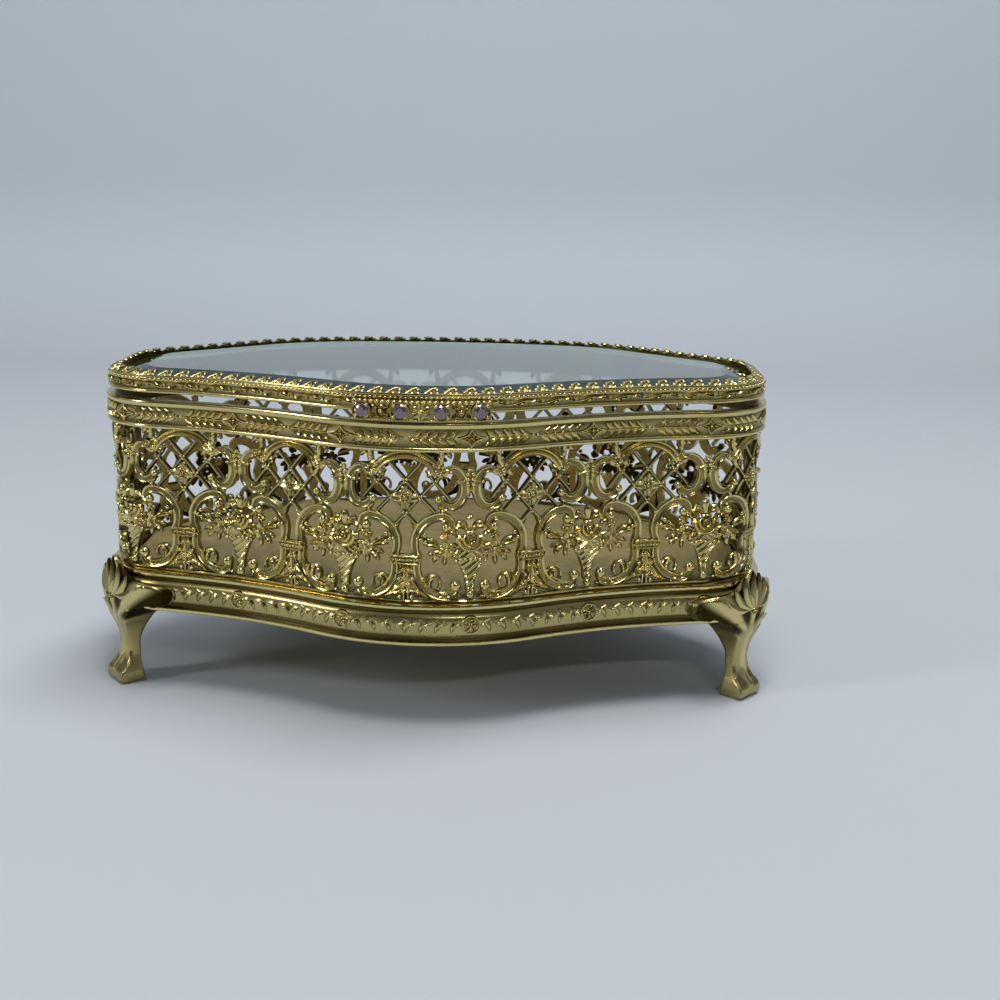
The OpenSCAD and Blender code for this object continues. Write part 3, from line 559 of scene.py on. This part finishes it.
# The flowers: rose, side flowers, buds, berries and leaves
for r, start, end, width, lift in ((0.72, -90, 90, 0.6, 0.95), (1.5, -90, 40, 1.0, 0.7), (2.45, -90, -5, 1.25, 0.4),
                                   (1.7, 55, 90, 0.9, 0.45)):
    casting.bar(arc(0, 14.6, r, start, end, 8), width, ROUND, lambda f: 1 - 0.35 * f * f, lift)
for turn in (-68, -30, 8):
    a = math.radians(turn)
    casting.petal((1.6 * math.cos(a), 14.2 + 1.6 * math.sin(a)), (3.3 * math.cos(a), 14.0 + 3.3 * math.sin(a)), 1.9,
                  0.25)
casting.bead(0, 14.6, 0.45, 1.3)
casting.petal((0.5, 12.0), (2.2, 10.7), 1.9, 0.55)
casting.leaf((0.2, 17.0), (0.15, 20.0), 1.5)
casting.leaf((0.5, 16.9), (2.9, 18.6), 1.2, bow=0.12)
casting.leaf((0.6, 16.6), (3.9, 17.2), 1.1, bow=0.15)
for root, tip, wide, bow in (((2.6, 12.2), (1.0, 10.9), 1.2, 0.1), ((2.8, 12.3), (4.0, 10.3), 1.2, -0.1),
                             ((6.4, 11.2), (8.1, 9.3), 1.3, 0.1), ((5.4, 10.9), (5.6, 8.6), 1.1, 0.0),
                             ((6.9, 12.8), (10.2, 13.2), 1.0, 0.1), ((7.0, 13.4), (9.9, 14.8), 0.9, 0.1),
                             ((6.8, 12.0), (9.2, 11.0), 1.2, 0.05), ((3.0, 15.4), (4.6, 16.4), 1.1, 0.1),
                             ((4.2, 13.6), (2.6, 13.0), 1.1, 0.1)):
    casting.leaf(root, tip, wide, bow=bow, lift=0.35)
for k in range(6):
    a = math.radians(60 * k + 20)
    casting.petal((5.2 + 0.35 * math.cos(a), 12.2 + 0.35 * math.sin(a)),
                  (5.2 + 1.75 * math.cos(a), 12.2 + 1.75 * math.sin(a)), 1.25, 0.4)
casting.bead(5.2, 12.2, 0.5, 0.9, 6)
for k in range(5):
    a = math.radians(72 * k)
    casting.petal((5.5 + 0.2 * math.cos(a), 15.2 + 0.2 * math.sin(a)),
                  (5.5 + 1.1 * math.cos(a), 15.2 + 1.1 * math.sin(a)), 0.9, 0.4)
casting.bead(5.5, 15.2, 0.4, 0.8, 6)
for u, v, r in ((9.7, 13.9, 0.55), (9.8, 15.5, 0.6), (10.6, 14.4, 0.55), (8.3, 14.5, 0.45), (3.6, 11.4, 0.45),
                (7.6, 10.7, 0.4), (2.3, 10.9, 0.4), (3.1, 10.7, 0.35), (11.4, 14.6, 0.4)):
    casting.bead(u, v, r, 0.5, 7)
casting.bar([(7.2, 13.6), (11.6, 14.8)], 0.6, RIDGE)
casting.mirrored()
# The basket itself is woven across its whole width
rows, columns = 28, 18
weave = []
for i in range(rows + 1):
    f = i / rows
    v = 2.9 + 7.1 * f
    half = 1.0 + 2.4 * f ** 2.2
    for j in range(columns + 1):
        g = 2 * j / columns - 1
        cord_wave = 1.5 * math.sin(4.0 * (v - 0.8 * g * half))
        swell = 0.62 * math.sqrt(max(0, 1 - g * g)) + (0.16 * cord_wave if abs(g) < 0.99 else 0)
        weave.append((g * half, 0.1 + swell, v))
faces = [[i * (columns + 1) + j, i * (columns + 1) + j + 1, (i + 1) * (columns + 1) + j + 1,
          (i + 1) * (columns + 1) + j] for i in range(rows) for j in range(columns)]
rim = list(range(columns + 1)) + [i * (columns + 1) + columns for i in range(1, rows + 1)]
rim += [rows * (columns + 1) + j for j in range(columns - 1, -1, -1)] + [i * (columns + 1) for i in range(rows - 1, 0, -1)]
back = [(weave[i][0], BACK, weave[i][2]) for i in rim]
count = len(weave)
faces += [[rim[(k + 1) % len(rim)], rim[k], count + k, count + (k + 1) % len(rim)] for k in range(len(rim))]
faces.append([count + k for k in range(len(rim))])
casting.add(weave + back, faces)
for k in range(7):
    casting.bead(-3.15 + 1.05 * k, 10.15 - 0.04 * (3 - k) ** 2, 0.5, 0.75, 7)
casting.bead(0, 2.1, 1.0, 0.3)

wall_pitch = wall_length / 14
filigree = casting.mesh("filigree_casting", foot=28.4)
filigree.transform(Matrix.Diagonal((wall_pitch / 28, 1, 1, 1)))
for name, first, count in (("front_filigree", -3, 6), ("right_filigree", 3, 2), ("back_filigree", 5, 5),
                           ("left_filigree", 10, 1)):
    piece = bend_round(filigree.copy(), name + "_relief", wall_pitch, -3.5 + (first + 0.5) * wall_pitch, count,
                       cast_gilt, "casket")
    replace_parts(piece, name)


# ---- Base moulding, rim band and lid band: turned and drawn mouldings with rounded beads, each
# bent round the plan and soldered. The lid band's plain lower lip closes over the rim.
def moulding(name, section, finish, body, on_lid=False, every=2):
    """Sweeps a closed section of [offset from the rim line, height, relief] round the plan."""
    rings = stations[::every]
    n, m = len(rings), len(section)
    points = [(*(q * MM for q in offset(ring, d)), z * MM) for ring in rings for d, z, _ in section]
    faces = [[k * m + i, ((k + 1) % n) * m + i, ((k + 1) % n) * m + (i + 1) % m, k * m + (i + 1) % m]
             for k in range(n) for i in range(m)]
    mesh = bpy.data.meshes.new(name)
    mesh.from_pydata(points, [], faces)
    shell = bmesh.new()
    shell.from_mesh(mesh)
    bmesh.ops.recalc_face_normals(shell, faces=shell.faces)
    shell.to_mesh(mesh)
    shell.free()
    # The relief sets the gilt's painted shade and its polish.
    mesh.attributes.new("relief", "FLOAT", "POINT").data.foreach_set(
        "value", [depth for _ in rings for _, _, depth in section])
    if on_lid:
        mesh.transform(seated)
    mesh.materials.append(finish)
    mesh.shade_smooth()
    mesh.set_sharp_from_angle(angle=math.radians(48))
    piece = bpy.data.objects.new(name, mesh)
    scene.collection.objects.link(piece)
    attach(piece, body)
    return piece


base = moulding("base_moulding_profile", [
    (-3.6, 19, 0.2), (-0.4, 19, 0.5), (-0.14, 19.2, 0.9), (-0.1, 19.6, 1), (-0.2, 19.95, 0.8), (-0.8, 20.1, 0.3),
    (-0.95, 20.5, 0.2), (-0.85, 21, 0.3), (-0.4, 21.2, 0.5), (0, 22, 0.55), (0.05, 23.7, 0.55), (0, 25.4, 0.55),
    (-0.4, 26.2, 0.5), (-0.85, 26.4, 0.3), (-0.95, 26.9, 0.2), (-0.8, 27.3, 0.3), (0, 27.35, 0.8),
    (0.18, 27.55, 1), (0.2, 28, 1), (0.1, 28.3, 0.9), (-0.2, 28.4, 0.8), (-3.6, 28.4, 0.4), (-3.6, 24.5, 0.1),
    (-7, 24.5, 0.1), (-7, 23.5, 0.1), (-3.6, 23.5, 0.1)], band_gilt, "casket")
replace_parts(base, "base_moulding")
rim = moulding("rim_band_profile", [
    (-2.9, 62.2, 0.2), (-0.35, 62.2, 0.6), (-0.07, 62.38, 0.95), (0, 62.75, 1), (-0.14, 63.1, 0.8),
    (-0.6, 63.3, 0.35), (-0.66, 65.2, 0.62), (-0.6, 67.05, 0.35), (-0.24, 67.25, 0.6), (-0.2, 67.5, 0.7),
    (-0.04, 67.75, 1), (0, 68.1, 1), (-0.12, 68.4, 1), (-0.5, 68.5, 0.9), (-2.9, 68.5, 0.3)],
    band_gilt, "casket")
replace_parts(rim, "rim_band")
skirt = moulding("lid_band_profile", [
    (-2.3, 68.9, 0.2), (-0.85, 68.9, 0.6), (-0.56, 69.05, 1), (-0.5, 69.35, 1), (-0.6, 69.68, 0.9),
    (-0.95, 69.85, 0.35), (-1.0, 70.7, 0.62), (-0.97, 71.55, 0.35), (-0.8, 71.7, 0.6), (-0.74, 72.0, 0.7),
    (-0.8, 72.3, 0.7), (-1.0, 72.4, 0.6), (-2.3, 72.4, 0.3)], band_gilt, "lid", True)
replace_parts(skirt, "lid_band")

# Carved leaves and scrolls on the base's belly
carving = Casting()
for k in range(4):
    u = 1.4 + 3.3 * k
    carving.leaf((u, 24.6), (u + 2.8, 22.1), 1.7, bow=0.25, lift=1.65)
    carving.leaf((u, 24.4), (u + 2.9, 25.5), 1.2, bow=-0.2, lift=1.65)
    carving.bead(u + 1.3, 23.9, 0.5, 1.9, 6)
carving.bar(arc(0, 23.9, 1.9, -90, 90, 10), 0.6, RIDGE, lift=1.75)
carving.petal((0, 23.9), (1.5, 23.9), 1.2, 1.75)
carving.petal((0, 23.9), (0.8, 25.2), 1.1, 1.75)
carving.petal((0, 23.9), (0.8, 22.6), 1.1, 1.75)
carving.bead(0, 23.9, 0.6, 2.1)
carving.mirrored()
bend_round(carving.mesh("base_carving_flat", low=1.6, high=2.3), "base_carving", wall_pitch,
           -3.5 + 0.5 * wall_pitch, 14, cast_gilt, "casket")

# Laurel and diamonds on the rim band: a four-pointed star over each basket
laurel = Casting()
star = [(2.85, 0), (1.75, 0.28), (0.95, 0.62), (0.35, 1.2), (0, 1.85)]
for turn in (1, -1):
    laurel.bar([(u, 65.2 + turn * v) for u, v in star], 0.55, RIDGE, lift=1.35)
    laurel.leaf((0.2, 65.2), (1.9, 65.2 + 0.15 * turn), 0.7, lift=1.2)
    laurel.leaf((0.05, 65.2 + 0.2 * turn), (0.05, 65.2 + 1.3 * turn), 0.6, lift=1.2)
    for k in range(5):
        u = 4.9 + 1.85 * k
        laurel.leaf((u - 1.9, 65.2 + 1.72 * turn), (u + 0.9, 65.2 + 0.1 * turn), 1.35, bow=-0.12 * turn, lift=1.25)
    laurel.leaf((4.6, 65.2 + 1.7 * turn), (1.9, 65.2 + 1.45 * turn), 0.7, bow=0.1 * turn, lift=1.2)
laurel.bead(0, 65.2, 0.42, 1.45, 6)
laurel.bead(13.4, 65.2, 0.4, 1.4, 6)
laurel.bar([(2.4, 65.2), (13.6, 65.2)], 0.28, RIDGE, lift=1.3)
laurel.mirrored()
bend_round(laurel.mesh("rim_laurel_flat", low=0.9, high=1.75), "rim_laurel", wall_pitch,
           -3.5 + 0.5 * wall_pitch, 14, cast_gilt, "casket")

# A running vine and a milled edge on the lid band
curl_pitch = wall_length / 48
curl = Casting()
half_wave = curl_pitch / 2
vine = [(half_wave * (k / 8 - 1), 70.75 + 0.42 * math.sin(math.pi * k / 8)) for k in range(17)]
curl.bar(vine, 0.42, RIDGE, lift=0.98)
for side, u in ((1, -0.5 * half_wave), (-1, 0.5 * half_wave)):
    curl.bar(arc(u, 70.72 - 0.12 * side, 0.62, 200 * side, -50 * side, 8, 0.5), 0.36, RIDGE,
             lambda f: 1 - 0.4 * f, 0.98)
    curl.leaf((u + 0.7, 70.75 + 0.25 * side), (u + 2.1, 70.75 + 0.8 * side), 0.7, bow=-0.15 * side, lift=0.92)
    curl.leaf((u - 0.6, 70.75 - 0.1 * side), (u - 1.9, 70.75 - 0.75 * side), 0.6, bow=-0.15 * side, lift=0.92)
bend_round(curl.mesh("lid_curl_flat", low=0.6, high=1.3), "lid_curls", curl_pitch, 0, 48, cast_gilt, "lid",
           True)
milled = Casting()
milled.bead(0, 72.02, 0.4, 0.95, 6)
bend_round(milled.mesh("lid_milling_flat", low=0.5, high=1.3), "lid_milling", wall_length / 360, 0, 360, cast_gilt,
           "lid", True)

# ---- Crown of claws: a stamped strip soldered on the lid band. Its hooked trefoils are pressed
# down over the edge of the glass and hold it on its seat.
strip = moulding("claw_strip", [(-1.95, 72.3, 0.2), (-1.15, 72.3, 0.4), (-1.05, 72.6, 0.7), (-1.15, 72.9, 0.8),
                                (-1.5, 73.0, 0.7), (-1.95, 72.9, 0.4)], band_gilt, "lid", True)
claw = Casting()
claw.bar([(-1.5, 0), (-1.0, 0.55), (-0.35, 1.1), (0.35, 1.5), (0.95, 1.6), (1.3, 1.35)], 0.75, ROUND,
         lambda f: 1 - 0.35 * f)
claw.bead(1.2, 1.25, 0.42, 0.25, 7)
claw.bead(-0.5, 1.3, 0.4, 0.2, 6)
claw.bead(-1.35, 0.65, 0.38, 0.1, 6)
claw.bar([(0.9, 0), (0.5, 0.5), (0.2, 1.2)], 0.7, ROUND, lambda f: 1 - 0.3 * f)
claw.bead(1.25, 0.4, 0.4, 0.1, 6)
claw.bead(-0.1, 0.35, 0.45, 0.15, 6)
claw.points = [(0.95 * u, 0.45 * w - 1.15 * v + 0.3, 0.62 * v + 0.3 * w + 72.8) for u, w, v in claw.points]
crown = bend_round(claw.mesh("claw_flat", low=-2.6, high=0.6), "crown_claws", wall_length / 96,
                   0.5 * wall_length / 96, 96, cast_gilt, "lid", True)
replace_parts(strip, "crown_gallery")
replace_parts(crown, "crown_gallery")

# ---- Glass: one plate of clear glass, 3.2 mm thick, with a polished bevel 7 mm wide all round.
# Its cut edge is greener than its face. Its bevel has the glass's own green deepened as painted shade for the dark seat
# seen through it, and its reflections are tinted green as a painted reflection.
def plate(name, rings, body, on_lid=False):
    """A closed solid from rings of [offset, height]; the first and last ring are closed flat."""
    around = stations[::2]
    n = len(around)
    points = [(*(q * MM for q in offset(at, d)), z * MM) for d, z in rings for at in around]
    faces = [[r * n + k, r * n + (k + 1) % n, (r + 1) * n + (k + 1) % n, (r + 1) * n + k]
             for r in range(len(rings) - 1) for k in range(n)]
    faces += [list(reversed(range(n))), [(len(rings) - 1) * n + k for k in range(n)]]
    mesh = bpy.data.meshes.new(name)
    mesh.from_pydata(points, [], faces)
    if on_lid:
        mesh.transform(seated)
    piece = bpy.data.objects.new(name, mesh)
    scene.collection.objects.link(piece)
    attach(piece, body)
    return piece


def clear(name, tint, tint_through):
    material = bpy.data.materials.new(name)
    material.use_nodes = True
    nodes, links = material.node_tree.nodes, material.node_tree.links
    surface = nodes["Principled BSDF"]
    surface.inputs["Base Color"].default_value = (*tint, 1)
    surface.inputs["Transmission Weight"].default_value = 1.0
    surface.inputs["Roughness"].default_value = 0.02
    surface.inputs["IOR"].default_value = 1.5
    rays = nodes.new("ShaderNodeLightPath")
    either = nodes.new("ShaderNodeMath")
    either.operation = "MAXIMUM"
    links.new(rays.outputs["Is Shadow Ray"], either.inputs[0])
    links.new(rays.outputs["Is Diffuse Ray"], either.inputs[1])
    opacity = nodes.new("ShaderNodeMath")
    opacity.operation = "MULTIPLY_ADD"
    links.new(either.outputs[0], opacity.inputs[0])
    opacity.inputs[1].default_value = -tint_through
    opacity.inputs[2].default_value = 1.0
    links.new(opacity.outputs[0], surface.inputs["Alpha"])
    return material


glass = plate("glass_panel_bevelled", [(-2.6, 70.2), (-2.6, 71.7), (-9.6, 73.4)], "lid", True)
glass.data.materials.append(clear("plate_glass", (0.92, 0.96, 0.89), 0.9))
glass.data.materials.append(clear("glass_edge", (0.24, 0.55, 0.38), 0.7))
# The bevel's deep green is partly the glass's own and partly painted shade for the dark seat seen through it.
glass.data.materials.append(clear("glass_bevel", (0.26, 0.64, 0.36), 0.8))
glass.data.shade_flat()
# Painted reflection: the bevel's reflections are tinted green.
glass.data.materials["glass_bevel"].node_tree.nodes["Principled BSDF"].inputs["Specular Tint"].default_value = (
    0.55, 0.95, 0.80, 1)
for face in glass.data.polygons:
    face.material_index = {0: 1, 1: 2}.get(face.index // len(stations[::2]), 0)
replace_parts(glass, "glass_panel")

# ---- Lining: a tan satin pad, drawn in at its foot and crowned, on a card over the floor plate.
# The satin has a fine weave with a soft sheen and shallow pulls. A stretched noise paints it in lighter and darker
# bands, painted light and shade of soft folds, and raises them a little.
satin = bpy.data.materials.new("satin")
satin.use_nodes = True
nodes, links = satin.node_tree.nodes, satin.node_tree.links
surface = nodes["Principled BSDF"]
place = nodes.new("ShaderNodeTexCoord")
weave_tex = nodes.new("ShaderNodeTexWave")
weave_tex.inputs["Scale"].default_value = 900
weave_tex.inputs["Distortion"].default_value = 0.6
links.new(place.outputs["Object"], weave_tex.inputs["Vector"])
pulled = nodes.new("ShaderNodeMapping")
pulled.inputs["Scale"].default_value = (0.3, 1.5, 1.5)
links.new(place.outputs["Object"], pulled.inputs["Vector"])
fold_shade_and_relief = nodes.new("ShaderNodeTexNoise")
fold_shade_and_relief.inputs["Scale"].default_value = 70
fold_shade_and_relief.inputs["Detail"].default_value = 3
links.new(pulled.outputs[0], fold_shade_and_relief.inputs["Vector"])
# Painted light and shade: the fold noise mixes a dark and a light tan into bands.
tone = nodes.new("ShaderNodeMix")
tone.data_type = "RGBA"
tone.inputs[6].default_value = (0.115, 0.082, 0.026, 1)
tone.inputs[7].default_value = (0.33, 0.255, 0.095, 1)
links.new(fold_shade_and_relief.outputs["Fac"], tone.inputs[0])
links.new(tone.outputs[2], surface.inputs["Base Color"])
both = nodes.new("ShaderNodeMath")
both.operation = "MULTIPLY_ADD"
links.new(weave_tex.outputs["Fac"], both.inputs[0])
both.inputs[1].default_value = 0.08
links.new(fold_shade_and_relief.outputs["Fac"], both.inputs[2])
bump = nodes.new("ShaderNodeBump")
bump.inputs["Strength"].default_value = 0.35
bump.inputs["Distance"].default_value = 0.0012
links.new(both.outputs[0], bump.inputs["Height"])
links.new(bump.outputs[0], surface.inputs["Normal"])
surface.inputs["Roughness"].default_value = 0.5
surface.inputs["Sheen Weight"].default_value = 0.2
surface.inputs["Sheen Tint"].default_value = (0.85, 0.72, 0.42, 1)
pad_rings = [(-4.8, 26.8), (-4.45, 26.95), (-4.3, 27.5), (-4.3, 28.1), (-4.6, 28.6), (-5.3, 28.95), (-6.7, 29.25),
             (-9, 29.4), (-12, 29.5), (-15.5, 29.6), (-18.3, 29.65)]
around = stations[::4]
n = len(around)
points = [(*offset(at, d), z) for d, z in pad_rings for at in around]
inner = points[-n:]
for share in (0.3, 0.55, 0.78, 0.93):
    points += [(x + (max(-34, min(34, x)) - x) * share, y * (1 - share), 29.65 + 0.1 * math.sin(share * math.pi / 2))
               for x, y, _ in inner]
rows = len(pad_rings) + 4
faces = [[r * n + k, r * n + (k + 1) % n, (r + 1) * n + (k + 1) % n, (r + 1) * n + k]
         for r in range(rows - 1) for k in range(n)]
faces += [list(reversed(range(n))), [(rows - 1) * n + k for k in range(n)]]
mesh = bpy.data.meshes.new("satin_pad")
enlarged = 10
mesh.from_pydata([tuple(q * MM * enlarged for q in p) for p in points], [], faces)
pad = bpy.data.objects.new("satin_pad", mesh)
scene.collection.objects.link(pad)


def applied(piece):
    graph = bpy.context.evaluated_depsgraph_get()
    shape = bpy.data.meshes.new_from_object(piece.evaluated_get(graph), depsgraph=graph)
    piece.modifiers.clear()
    piece.data = shape


even = pad.modifiers.new("even_faces", "REMESH")
even.mode = "VOXEL"
even.voxel_size = 1.1 * MM * enlarged
applied(pad)
flat_points = [point.co.copy() for point in pad.data.vertices]
held = pad.vertex_groups.new(name="held")
foot, crest = 27.6 * MM * enlarged, 29.2 * MM * enlarged
for index, point in enumerate(flat_points):
    held.add([index], max(0.0, min(1.0, (crest - point.z) / (crest - foot))), "REPLACE")
puffed = pad.modifiers.new("satin_cloth", "CLOTH")
cloth = puffed.settings
cloth.quality = 5
cloth.mass = 0.15
cloth.tension_stiffness = cloth.compression_stiffness = 12
cloth.shear_stiffness = 4
cloth.bending_stiffness = 0.08
cloth.use_pressure = True
cloth.uniform_pressure_force = 0.15
cloth.shrink_min = -0.035
cloth.effector_weights.gravity = 0
cloth.vertex_group_mass = "held"
puffed.point_cache.frame_start, puffed.point_cache.frame_end = 1, 20
for step in range(1, 21):
    scene.frame_set(step)
applied(pad)
scene.frame_set(1)
most_rise = 1.2 * MM * enlarged
for point, start in zip(pad.data.vertices, flat_points):
    move = point.co - start
    if move.length > most_rise:
        move *= most_rise / move.length
    point.co = start + move
pad.data.transform(Matrix.Scale(1 / enlarged, 4))
finer = pad.modifiers.new("finer", "SUBSURF")
finer.levels = finer.render_levels = 1
applied(pad)
pad.data.materials.clear()
pad.data.materials.append(satin)
pad.data.shade_smooth()
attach(pad, "casket")
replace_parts(pad, "lining_pad")

# ---- Thumb bar: a curved gilt bar on the lid band, edged with beads, with four stones in round
# collets, a flower in its middle and an oval between the stones at each side.
edge = Casting()
edge.bead(0, 71.25, 0.6, 2.35, 8)
edge.bead(-0.3, 67.62, 0.36, 2.5, 7)
edge.bead(0.3, 67.62, 0.36, 2.5, 7)
bend_round(edge.mesh("bar_bead_flat", low=1.7, high=2.8), "bar_beads", 1.2, -13.8, 24, cast_gilt, "lid",
           True)
flower = Casting()
for k in range(6):
    a = math.radians(60 * k + 30)
    flower.petal((0.3 * math.cos(a), 69.45 + 0.3 * math.sin(a)), (1.9 * math.cos(a), 69.45 + 1.7 * math.sin(a)), 1.2,
                 2.75)
flower.bead(0, 69.45, 0.6, 3.1)
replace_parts(bend_round(flower.mesh("bar_flower_flat", low=2.4, high=3.3), "bar_flower_petals", 1, 0, 1, cast_gilt,
                       "lid", True), "bar_flower")
for name, s in (("bar_oval_left", -8.1), ("bar_oval_right", 8.1)):
    oval = Casting()
    oval.bar(arc(0, 69.45, 0.95, 0, 350, 14, 1.35), 0.5, ROUND, lift=2.5)
    oval.bead(0, 69.45, 0.62, 2.8, 8)
    for u, v in ((-1.6, 0.9), (1.6, 0.9), (-1.6, -0.9), (1.6, -0.9)):
        oval.leaf((0.6 * u, 69.45 + 0.6 * v), (1.2 * u, 69.45 + 1.5 * v), 0.8, lift=2.4)
    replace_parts(bend_round(oval.mesh(name + "_flat", low=2.3, high=3.2), name + "_cast", 1, s, 1, cast_gilt, "lid",
                           True), name)

# Foiled stones, each held in its collet by four prongs
setting = Casting()
for u, v in ((-1.15, 1.15), (1.15, 1.15), (-1.15, -1.15), (1.15, -1.15)):
    setting.bead(u, 69.45 + v, 0.5, 3.0, 7)
prongs = setting.mesh("prongs_flat", low=2.4, high=3.3)
stone_glass = bpy.data.materials.new("crystal_glass")
stone_glass.use_nodes = True
surface = stone_glass.node_tree.nodes["Principled BSDF"]
surface.inputs["Base Color"].default_value = (0.27, 0.215, 0.22, 1)
surface.inputs["Metallic"].default_value = 0.8
surface.inputs["Roughness"].default_value = 0.04
for k, s in enumerate((-12.1, -4.2, 4.2, 12.1)):
    sides = 12
    rings = [(0.6, 0.05), (1.62, 0.62), (1.62, 0.75), (1.2, 1.15), (0.8, 1.32)]
    points = [(0, 0, 0)] + [(r * math.cos(2 * math.pi * (i + 0.5 * (q % 2)) / sides),
                             r * math.sin(2 * math.pi * (i + 0.5 * (q % 2)) / sides), h)
                            for q, (r, h) in enumerate(rings) for i in range(sides)]
    faces = [[0, 1 + (i + 1) % sides, 1 + i] for i in range(sides)]
    for q in range(len(rings) - 1):
        a, b = 1 + q * sides, 1 + (q + 1) * sides
        for i in range(sides):
            j = (i + 1) % sides
            if q % 2:
                faces += [[a + i, a + j, b + j], [a + i, b + j, b + i]]
            else:
                faces += [[a + i, a + j, b + i], [a + j, b + j, b + i]]
    faces.append([1 + (len(rings) - 1) * sides + i for i in range(sides)])
    mesh = bpy.data.meshes.new("stone_%d" % (k + 1))
    mesh.from_pydata([tuple(q * MM for q in p) for p in points], [], faces)
    near = min(stations, key=lambda at: abs((at[3] - s + wall_length / 2) % wall_length - wall_length / 2))
    x, y = offset(near, 0.65)
    mesh.transform(Matrix.Translation((x * MM, y * MM, 69.45 * MM)) @ Matrix.Rotation(near[2], 4, "Z")
                   @ Matrix.Rotation(math.radians(90), 4, "X"))
    mesh.transform(seated)
    shell = bmesh.new()
    shell.from_mesh(mesh)
    bmesh.ops.recalc_face_normals(shell, faces=shell.faces)
    shell.to_mesh(mesh)
    shell.free()
    mesh.materials.append(stone_glass)
    stone = bpy.data.objects.new("stone_%d" % (k + 1), mesh)
    scene.collection.objects.link(stone)
    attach(stone, "lid")
    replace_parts(stone, "crystal_%d" % (k + 1))
    bend_round(prongs.copy(), "prongs_%d" % (k + 1), 1, s, 1, cast_gilt, "lid", True)

# ---- Feet: scrolled cast legs with flared toes, whose knees wrap the corners of the base. The
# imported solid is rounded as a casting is, fluted like a shell over its knee and ribbed down its leg.
def cast_foot(name, distance, radius):
    """distance is the foot's place on the wall's line, radius that of the corner it wraps."""
    blank = bpy.data.objects.new(name + "_cast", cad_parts[name].data.copy())
    scene.collection.objects.link(blank)
    shell = bmesh.new()
    shell.from_mesh(blank.data)
    bmesh.ops.remove_doubles(shell, verts=shell.verts, dist=1e-6)
    shell.to_mesh(blank.data)
    shell.free()
    even = blank.modifiers.new("even_faces", "REMESH")
    even.mode = "VOXEL"
    even.voxel_size = 0.36 * MM
    soft = blank.modifiers.new("rounded", "SMOOTH")
    soft.factor, soft.iterations = 0.5, 9
    graph = bpy.context.evaluated_depsgraph_get()
    mesh = bpy.data.meshes.new_from_object(blank.evaluated_get(graph), depsgraph=graph)
    blank.modifiers.clear()
    blank.data = mesh
    x0, y0, heading, _ = min(stations, key=lambda at: abs(at[3] - distance))
    out = Vector((math.sin(heading), -math.cos(heading), 0))
    along = Vector((math.cos(heading), math.sin(heading), 0))
    centre = Vector((x0, y0, 0)) - radius * out
    depths = []
    for point in mesh.vertices:
        place = point.co / MM - centre
        u = radius * math.atan2(place.dot(along), place.dot(out))
        up = point.co.z / MM
        faces_out = max(0.0, min(1.0, 1.6 * (point.normal.dot(out) + 0.25)))
        turn = math.atan2(u, max(0.01, up - 14.5))
        reach = math.hypot(u, up - 14.5)
        knee = faces_out * min(1, max(0, (reach - 2.5) / 3)) * (1 if up > 17 else max(0, (up - 14) / 3))
        lobe = 1 - 2 * abs(math.sin(4.4 * turn)) ** 1.3
        rib = faces_out * math.exp(-(u / 0.8) ** 2) * min(1, max(0, (17.5 - up) / 3)) * min(1, max(0, (up - 2.5) / 2))
        point.co += point.normal * MM * (0.42 * knee * lobe + 0.4 * rib)
        point.co.z = max(0, point.co.z)
        depths.append(min(1, 0.55 + 0.5 * knee * lobe + 0.4 * rib))
    # The relief sets the gilt's painted shade and its polish.
    mesh.attributes.new("relief", "FLOAT", "POINT").data.foreach_set("value", depths)
    mesh.materials.clear()
    mesh.materials.append(cast_gilt)
    mesh.shade_smooth()
    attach(blank, "casket")
    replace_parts(blank, name)


front_knee, back_knee = 76.68, 152.37
for name, distance, radius in (("foot_front_right", front_knee, 18), ("foot_front_left", wall_length - front_knee, 18),
                               ("foot_back_right", back_knee, 45), ("foot_back_left", wall_length - back_knee, 45)):
    cast_foot(name, distance, radius)

# Acanthus leaves stand on each knee, over the top bead of the base
acanthus = Casting()
acanthus.leaf((0, 22), (0, 30.8), 2.6)
for root, tip, wide, bow in (((0.7, 22), (2.9, 29.6), 2.0, -0.12), ((1.4, 22), (6.0, 27.6), 1.9, -0.16),
                             ((2.2, 22), (9.0, 25.6), 1.8, -0.16)):
    acanthus.leaf(root, tip, wide, bow=bow)
acanthus.bead(0, 21.4, 0.9, 0.2, 10)
acanthus.mirrored()
acanthus.points = [(u * 0.8, w + 4.55 - 0.11 * max(0, v - 22), v) for u, w, v in acanthus.points]
flat_acanthus = acanthus.mesh("acanthus_flat", low=3.8, high=5.2)
for name, distance in (("front_right", front_knee), ("front_left", wall_length - front_knee),
                       ("back_right", back_knee), ("back_left", wall_length - back_knee)):
    bend_round(flat_acanthus.copy(), "acanthus_" + name, 1, distance, 1, cast_gilt, "casket")

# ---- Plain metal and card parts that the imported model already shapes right: the hinge, the floor
# plate, the glass seat and the thumb bar. They get their finish only.
card = bpy.data.materials.new("lining_card")
card.use_nodes = True
card.node_tree.nodes["Principled BSDF"].inputs["Roughness"].default_value = 0.85
nodes, links = card.node_tree.nodes, card.node_tree.links
place = nodes.new("ShaderNodeTexCoord")
pulp = nodes.new("ShaderNodeTexNoise")
pulp.inputs["Scale"].default_value = 260
links.new(place.outputs["Object"], pulp.inputs["Vector"])
tone = nodes.new("ShaderNodeMix")
tone.data_type = "RGBA"
tone.inputs[6].default_value = (0.20, 0.16, 0.10, 1)
tone.inputs[7].default_value = (0.30, 0.25, 0.17, 1)
links.new(pulp.outputs["Fac"], tone.inputs[0])
links.new(tone.outputs[2], nodes["Principled BSDF"].inputs["Base Color"])
for name, finish in (("hinge_lower_leaf", plain_gilt), ("hinge_pin", plain_gilt), ("hinge_upper_leaf", plain_gilt),
                     ("floor_plate", plain_gilt), ("glass_seat", plain_gilt), ("thumb_bar", plain_gilt),
                     ("lining_board", card)):
    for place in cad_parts[name].material_slots:
        place.material = finish

bpy.data.objects.remove(plan_line)
